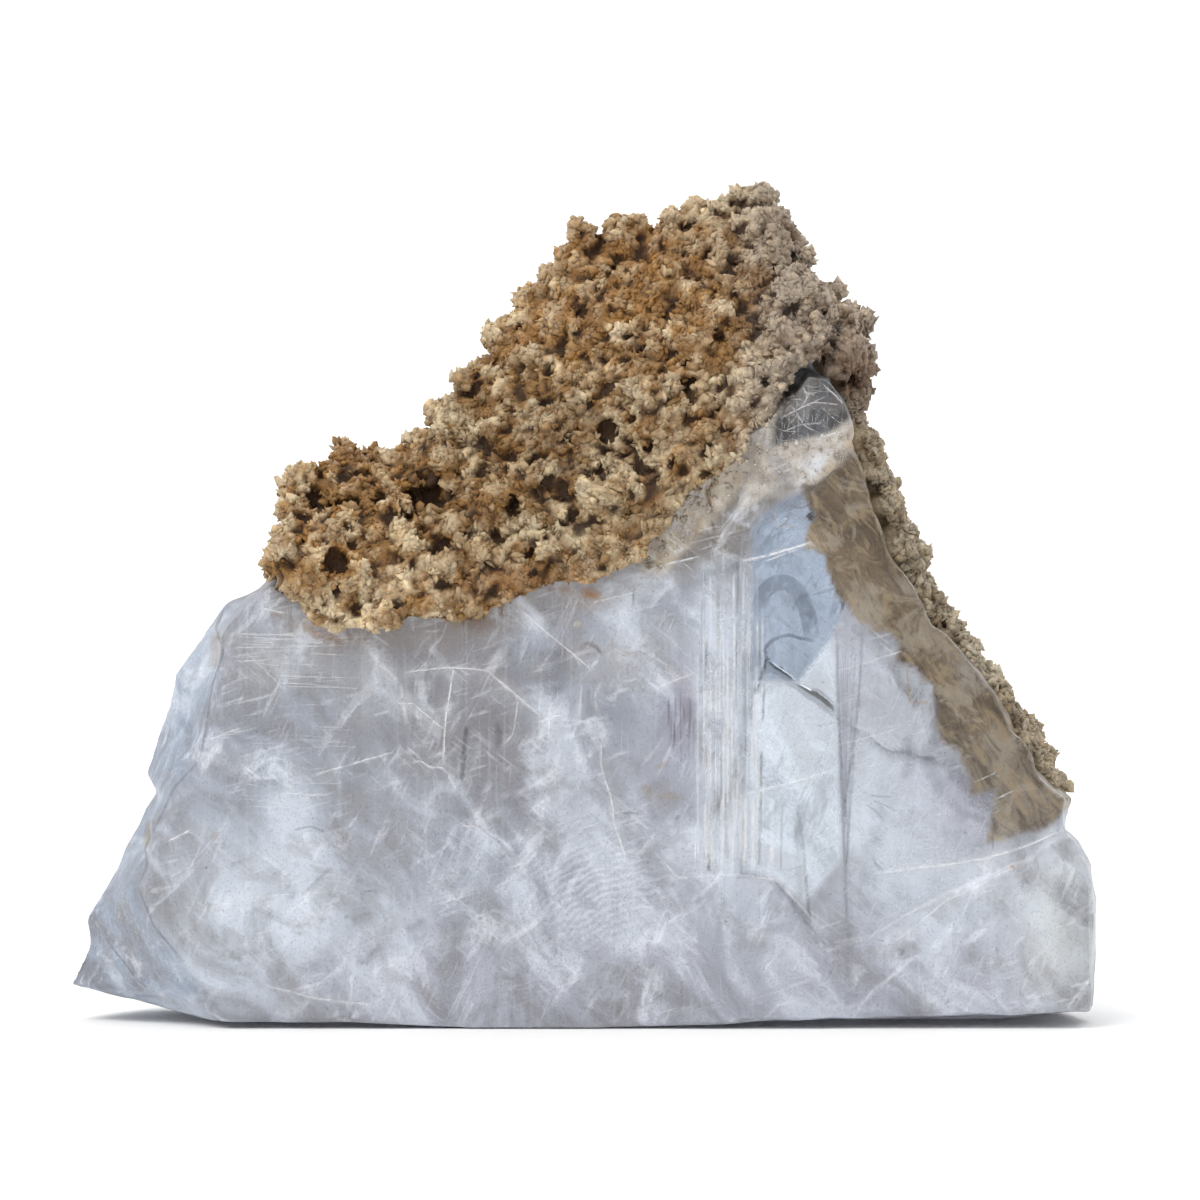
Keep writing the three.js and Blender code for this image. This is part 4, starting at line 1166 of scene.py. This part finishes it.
def make_veil(cad_tree, name, material, depth, colour, seed):
    """A milky layer that lies in the crystal at one depth, kept clear of its faces and of the window."""
    xs, ys = np.meshgrid(np.arange(70, 1100, VEIL_STEP), np.arange(380, 1026, VEIL_STEP))
    px, py = xs.ravel().astype(float), ys.ravel().astype(float)
    flat = np.stack([px, py * 0, py], axis=1)
    depths = depth + 2.5 * noise(flat, 190, seed) + 0.8 * noise(flat, 60, seed + 1)
    at = Places(np.array([place(x, y, d) for x, y, d in zip(px, py, depths)]), px, py)
    shows = VEIL_STRENGTH * (0.55 + 0.6 * fractal(flat, 120, seed + 2))
    shows *= 1 - 0.97 * at.areas(WIDE_WINDOW)
    shows *= 1 - 0.9 * at.area(EDGE_STRIP, 12)
    shows *= 1 - 0.5 * at.area(RIGHT_CLEAR, 20)
    corner = np.arange(xs.size).reshape(xs.shape)
    faces = np.stack([corner[:-1, :-1], corner[1:, :-1], corner[1:, 1:], corner[:-1, 1:]], axis=-1)
    faces = faces.reshape(-1, 4)
    faces = faces[deep_inside(at.co, cad_tree, 1.6 * MM)[faces].all(axis=1)]
    used, faces = np.unique(faces, return_inverse=True)
    mesh = mesh_of(name, at.co[used], faces.reshape(-1, 4))
    store(mesh, "shows", np.clip(shows[used], 0, 1))
    store(mesh, "tint", np.tile(colour, (len(used), 1)))
    mesh.shade_smooth()
    add_piece(name, mesh, material)


# The crusts

TAN = np.array(linear(144, 112, 68))
WHITE = np.array(linear(216, 205, 184))
OCHRE = np.array(linear(154, 112, 64))
HOLLOW_BROWN_AND_SHADE = np.array(linear(46, 26, 10))
GREY_BROWN = np.array(linear(140, 122, 96))
GREY_TAN = np.array(linear(164, 152, 138))
NOSE_BROWN = np.array(linear(112, 82, 52))

# Painted light and shade over the crust, tinted as it goes from its tan left over its middle to its grey
# right part
LEFT_SHADE = (1.08, 1.0, 0.86)
MIDDLE_SHADE = (0.88, 0.82, 0.7)
RIGHT_SHADE = (0.78, 0.74, 0.74)

PITTED = 0.3  # the share of the crust's lumps that are pits instead
BOX_MARGIN = 0.4 * MM  # how far the crusts may stand past the solids' box

# One lens-shaped grain: a diamond foot, a wider diamond waist and a blunt edge at the tip.
GRAIN_POINTS = np.array([
    (0.6, 0, -0.4), (0, 0.55, -0.4), (-0.6, 0, -0.4), (0, -0.55, -0.4),
    (0.85, 0, 0.2), (0.05, 0.8, 0.25), (-0.85, 0, 0.15), (-0.05, -0.8, 0.2),
    (0.36, 0.04, 0.76), (-0.32, -0.04, 0.68),
])
GRAIN_FACES = np.array([
    (0, 1, 5), (0, 5, 4), (1, 2, 6), (1, 6, 5), (2, 3, 7), (2, 7, 6), (3, 0, 4), (3, 4, 7),
    (4, 5, 8), (5, 9, 8), (5, 6, 9), (6, 7, 9), (7, 8, 9), (7, 4, 8), (0, 2, 1), (0, 3, 2),
])
GRAIN_LEAN = np.array((-0.12, -0.05, 0.4))  # grains tend to point this way, mostly up
GRAIN_SUNK = np.array((0, 0, 0.12))  # how deep they sit, in their own length
LONGEST_GRAIN = 1.9  # against the usual one


def upper_tint(co, hollow, lot):
    """The upper crust's colour: tan, whiter to the right, whiter on its tips as partly painted highlight and
    brown in its hollows as partly painted shade, under painted light and shade.
    """
    at = Places(co)
    seed = SEEDS["tint"]
    white = 0.12 + 0.3 * at.fractal(12, seed) + 1.0 * at.fractal(3.2, seed + 11, 2)
    # Whiter on ridges and tips: partly their own colour, partly painted highlight.
    white += 0.15 * (lot - 0.5) + 0.9 * np.clip(-hollow, 0, 0.6)
    white += 0.45 * ramp(at.px, 690, 800) + 0.1 * at.spot(730, 218, 45, 40) + 0.3 * at.spot(660, 520, 70, 60)
    white -= 0.3 * at.spot(640, 270, 110, 70) + 0.3 * at.spot(380, 500, 90, 60)
    ochre = 0.15 + 0.5 * at.fractal(9, seed + 1) + 0.3 * at.spot(640, 260, 120, 70)
    ochre -= 0.4 * ramp(at.px, 720, 800)
    # More ochre in the hollows: partly the crust's own colour, partly painted shade.
    ochre += 0.9 * at.spot(530, 582, 70, 16) + 0.5 * np.clip(hollow, 0, 1)
    colour = mixed(at.filled(TAN), WHITE, np.clip(white, 0, 1))
    colour = mixed(colour, OCHRE, 0.7 * np.clip(ochre, 0, 1))
    colour = mixed(colour, GREY_TAN, 0.45 * ramp(at.px, 720, 800))
    colour = mixed(colour, NOSE_BROWN, 0.75 * at.spot(855, 372, 34, 34))
    # Brown in the hollows: partly the crust's own brown, partly painted shade.
    colour = mixed(colour, HOLLOW_BROWN_AND_SHADE, 0.88 * ramp(hollow, 0.12, 0.85))
    # Painted light and shade: lighter on the crust's left, darker over its middle and on its right; the
    # summit is also made a little darker.
    shade = mixed(at.filled(LEFT_SHADE), MIDDLE_SHADE, ramp(at.py, 320, 430) * ramp(at.px, 400, 470))
    shade = mixed(shade, RIGHT_SHADE, ramp(at.px, 700, 780))
    return colour * (1 - 0.16 * at.spot(730, 225, 60, 50))[:, None] * shade


def foot_tint(co, hollow, lot):
    """Whitish grains that thin out over the milky part of the slab."""
    at = Places(co)
    white = np.clip(hollow + 0.3 * lot + 0.6 * ramp(at.px, 715, 770), 0, 1)
    colour = mixed(at.filled(linear(156, 140, 114)), linear(190, 184, 174), white)
    return mixed(colour, linear(212, 208, 202), 0.6 * ramp(lot, 0.6, 1))


def edge_tint(co, hollow, lot):
    """The edge crust's colour: grey brown, with whitish grains, whiter on its ridges as partly painted
    highlight and brown in its hollows as partly painted shade.
    """
    at = Places(co)
    white = 0.15 + 0.35 * at.fractal(8, SEEDS["tint"] + 2) + 0.3 * (lot - 0.5)
    # Whiter on ridges: partly their own colour, partly painted highlight.
    white += 0.5 * np.clip(-hollow, 0, 0.6)
    white += 0.7 * at.spot(985, 655, 22, 26)
    colour = mixed(at.filled(GREY_BROWN), WHITE * 0.85, np.clip(white, 0, 1))
    # Brown in the hollows: partly the crust's own brown, partly painted shade.
    return mixed(colour, HOLLOW_BROWN_AND_SHADE, 0.85 * ramp(hollow, 0.2, 1.1))


def from_slab(co, cad_tree, reach):
    """How far each point is from the slab, up to the reach, and the nearest point on it with its normal."""
    distance = np.full(len(co), reach)
    nearest = co.copy()
    normal = np.zeros_like(co)
    for i, point in enumerate(co):
        hit, direction, _, length = cad_tree.find_nearest(Vector(point), reach)
        if hit is not None:
            distance[i], nearest[i], normal[i] = length, hit, direction
    return distance, nearest, normal


def crumbs(at, seed):
    """The height in mm of the lumps, bits and pits of a crust, and how deep in a pit each point lies."""
    loose = bent(at.co, 4 * MM, 1.5 * MM, seed + 20)
    big = cells(loose, 8 * MM, seed)[0]
    lump, next_lump, number = cells(loose, 3.9 * MM, seed + 1)
    bit, next_bit, _ = at.cells(1.5, 0.8, 1.7, seed + 2, seed + 24)
    pit = np.where(number > PITTED, 0, ramp(lump, 0.5, 0.12))
    height = 1.6 * (0.55 - big) + np.where(number > PITTED, 1.9 * (0.5 - lump), -1.7 * pit)
    height += ramp(next_lump - lump, 0.3, 0.0) * 0.8 * at.fractal(6, seed + 6)
    height += 0.8 * (0.5 - bit) + 0.3 * ramp(next_bit - bit, 0.2, 0.0)
    height -= 2.2 * ramp(fractal(loose, 7 * MM, seed + 3), 0.15, 0.6)
    ragged = fractal(bent(at.co, 3 * MM, MM, seed + 7), 3 * MM, seed + 8)
    return height + (0.6 * at.fractal(1.7, seed + 5, 2) + 0.5 * ragged), pit


def crumbled(node, voxel, seed, holes, cad_tree):
    """A crust's ground: the solid's shape, lumpy and pitted outside and grown fast to the slab inside.

    With it come how hollow each of its points lies, and how free it is of the slab."""
    mesh = remeshed(node, "VOXEL", voxel_size=voxel * MM, use_smooth_shade=True)
    co = neighbour_mean(mesh, coordinates(mesh), 2)
    move_to(mesh, co)
    no = normals(mesh)
    at = Places(co)
    distance, nearest, slab_normal = from_slab(co, cad_tree, 3.2 * MM)
    towards = (no * slab_normal).sum(axis=1)
    inner = ramp(-towards, -0.1, 0.4)
    free = 1 - inner * ramp(distance, 3.0 * MM, 0.9 * MM)
    height, pit = crumbs(at, seed)
    shown = ramp(-no[:, 1], -0.3, 0.2)
    for x, y, radius, depth in holes:
        hole = shown * at.spot(x, y, radius, radius)
        height -= depth * hole
        pit = np.maximum(pit, hole * depth / 2.4)
    height = np.where(distance < 3.1 * MM, np.maximum(height, 0.7 - distance / MM), height)
    co = co + no * (height * free)[:, None] * MM
    foot = ramp(distance, 0.9 * MM, 0.6 * MM) * ramp(towards, 0.85, 0.5)
    fast = np.maximum(inner * ramp(distance, 1.9 * MM, 1.0 * MM), foot)[:, None]
    co = co * (1 - fast) + (nearest - slab_normal * 0.9 * MM) * fast
    move_to(mesh, co)
    near, wide = (((neighbour_mean(mesh, co, rounds) - co) * no).sum(axis=1) / MM for rounds in (8, 50))
    return mesh, np.clip(0.9 * near + 0.55 * wide + 0.55 * pit, -1, 1.3) * free, free


def unit(vectors):
    return vectors / np.maximum(np.linalg.norm(vectors, axis=1, keepdims=True), 1e-12)


def strewn(ground, hollow, free, count, random):
    """Points strewn over a ground's free triangles, and the vertex that each takes its looks from."""
    co = coordinates(ground)
    ground.calc_loop_triangles()
    triangles = np.empty(len(ground.loop_triangles) * 3, np.int64)
    ground.loop_triangles.foreach_get("vertices", triangles)
    a, b, c = triangles.reshape(-1, 3).T
    weight = np.linalg.norm(np.cross(co[b] - co[a], co[c] - co[a]), axis=1)
    weight = weight * (free[a] > 0.9) * (1.2 - np.clip(hollow[a], 0, 1))
    chosen = random.choice(len(a), size=count, p=weight / weight.sum())
    u, v = random.random((2, count, 1))
    u, v = np.where(u + v > 1, 1 - u, u), np.where(u + v > 1, 1 - v, v)
    a, b, c = a[chosen], b[chosen], c[chosen]
    return co[a] + (co[b] - co[a]) * u + (co[c] - co[a]) * v, a


def grains(name, ground, hollow, free, tint, count, length, seed):
    """Blunt lens-shaped crystals grown out of a ground mesh, joined as one mesh."""
    random = np.random.default_rng(seed)
    middle, a = strewn(ground, hollow, free, count, random)
    axis = unit(unit(normals(ground)[a]) + 0.6 * random.normal(size=(count, 3)) + GRAIN_LEAN)
    side = unit(np.cross(axis, unit(random.normal(size=(count, 3)))))
    thick = np.cross(axis, side)
    big = np.exp(random.normal(0, 0.45, (count, 1))) * (1.05 - 0.5 * np.clip(hollow[a], 0, 1)[:, None])
    tall = length * MM * np.minimum(big, LONGEST_GRAIN)
    wide = tall * random.uniform(0.55, 1.1, (count, 1))
    thin = wide * random.uniform(0.3, 0.7, (count, 1))
    local = GRAIN_POINTS[None] * (1 + 0.28 * random.normal(size=(count, len(GRAIN_POINTS), 3))) - GRAIN_SUNK
    points = middle[:, None] + side[:, None] * local[..., :1] * wide[:, None]
    points = points + thick[:, None] * local[..., 1:2] * thin[:, None]
    points = points + axis[:, None] * local[..., 2:] * tall[:, None]
    faces = GRAIN_FACES[None] + (np.arange(count) * len(GRAIN_POINTS))[:, None, None]
    mesh = mesh_of(name, points.reshape(-1, 3), faces.reshape(-1, 3))
    lot = random.random(count)
    colour = tint(middle, hollow[a] * 0.9, lot) * (0.92 + 0.18 * random.random((count, 1)))
    # Painted shade and light on each grain: darker at its foot, lighter towards its tip.
    shaded = colour[:, None] * (0.92 + 0.26 * np.clip(local[..., 2:], -0.3, 0.8))
    store(mesh, "tint", np.clip(shaded, 0, 1).reshape(-1, 3))
    return mesh


def make_foot_grains(slab, material):
    """Grains where the upper crust thins out over the slab's milky corner."""
    at = Places(coordinates(slab))
    whitish = at.area(WHITISH, 3)
    free = np.maximum(at.area(GRAINY, 3), whitish) * (normals(slab)[:, 1] < -0.3)
    thin = np.where(whitish > 0.5, 0.45, 1 - ramp(distance_to(GRAINY_FROM, at.px, at.py), 48, 2))
    mesh = grains("crust_grains_foot", slab, np.clip(thin, 0, 1), free, foot_tint, 500, 0.6, SEEDS["foot"])
    add_piece("crust_grains_foot", mesh, material)


def keep_level(mesh):
    """Draws in whatever strays past the solids' box."""
    low = np.array(cad_box[0]) - BOX_MARGIN
    high = np.array(cad_box[1]) + BOX_MARGIN
    low[2] = 0
    move_to(mesh, np.clip(coordinates(mesh), low, high))


def make_crust(node, material, tint, cad_tree, seed, voxel, count, parts=1, holes=()):
    """A crust's ground, with voxels of this size in mm, and its grains in some parts of this many each."""
    ground, hollow, free = crumbled(node, voxel, seed, holes, cad_tree)
    keep_level(ground)
    for part in range(parts):
        name = f"{node}_grains_{part + 1}"
        mesh = grains(name, ground, hollow, free, tint, count, 1 - 0.3 * part, seed + part)
        keep_level(mesh)
        add_piece(name, mesh, material)
    store(ground, "tint", tint(coordinates(ground), hollow, 0.4 + 0 * hollow))
    piece = add_piece(f"{node}_ground", ground, material)
    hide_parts(node)


# The room

FLOOR_SIZE = 30
FLOOR_DROP = 0.2 * MM
AMBIENT = 0.85
SENSOR = 36  # the camera's sensor width in mm

# Soft suns: where they come from, strength, spread in degrees and colour
SUNS = {
    "key": ((-0.5, -0.5, 1.0), 1.5, 40, (1.0, 0.985, 0.96)),
    "back": ((0.45, 0.9, 0.8), 1.0, 40, (0.96, 0.98, 1.0)),
}


def make_floor():
    n = Nodes("pale_floor")
    n.set(Base_Color=(*linear(250, 250, 250), 1), Roughness=0.9)
    bpy.ops.mesh.primitive_plane_add(size=FLOOR_SIZE, location=(0, 0, -FLOOR_DROP))
    floor = bpy.context.object
    floor.name = "floor"
    floor.data.materials.append(n.material)


def make_sun(name, come_from, strength, spread, colour):
    light = bpy.data.lights.new(name, "SUN")
    light.energy = strength
    light.angle = math.radians(spread)
    light.color = colour
    lamp = bpy.data.objects.new(name, light)
    bpy.context.scene.collection.objects.link(lamp)
    lamp.rotation_euler = (-Vector(come_from)).to_track_quat("-Z", "Y").to_euler()


def make_light():
    world = bpy.data.worlds.new("studio")
    bpy.context.scene.world = world
    world.use_nodes = True
    world.node_tree.nodes["Background"].inputs["Color"].default_value = (1, 1, 1, 1)
    world.node_tree.nodes["Background"].inputs["Strength"].default_value = AMBIENT
    for name, settings in SUNS.items():
        make_sun(name, *settings)


def make_camera():
    target = Vector(place(PHOTO_PX / 2, PHOTO_PX / 2, 0))
    back = Vector((0, -math.cos(VIEW_ELEVATION), math.sin(VIEW_ELEVATION)))
    data = bpy.data.cameras.new("camera")
    data.sensor_width = SENSOR
    data.lens = SENSOR * CAMERA_DISTANCE / (PHOTO_PX * MM_PER_PX * MM)
    camera = bpy.data.objects.new("camera", data)
    bpy.context.scene.collection.objects.link(camera)
    camera.location = target + back * CAMERA_DISTANCE
    camera.rotation_euler = (-back).to_track_quat("-Z", "Y").to_euler()
    bpy.context.scene.camera = camera


make_camera()
make_light()
make_floor()
bpy.context.scene.view_settings.view_transform = "Standard"

cad_tree = tree_of(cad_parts["slab"].data)
slab_mesh = make_slab(clear_gypsum())
slab_tree = tree_of(slab_mesh)
make_cracks(slab_tree, veil_gypsum("crack_gypsum", 420, 0.3, 0.6))
make_marks(slab_tree, veil_gypsum("mark_gypsum", 520, 0.25, 0.5))
milky = veil_gypsum("veil_gypsum", 90, 0.42, 0.68)
make_veil(cad_tree, "slab_veil_near", milky, depth=8, colour=WHITE_LINE, seed=SEEDS["veils"])
make_veil(cad_tree, "slab_veil_far", milky, depth=24, colour=LAVENDER, seed=SEEDS["veils"] + 10)
sugary = crust_gypsum("sugary_gypsum", 0.4)
make_foot_grains(slab_mesh, sugary)
make_crust("crust", sugary, upper_tint, cad_tree, SEEDS["crust"],
           voxel=0.6, count=8500, parts=2, holes=HOLES)
brown = crust_gypsum("brown_gypsum", 0.3)
make_crust("edge_crust", brown, edge_tint, cad_tree, SEEDS["edge"], voxel=0.5, count=5500)
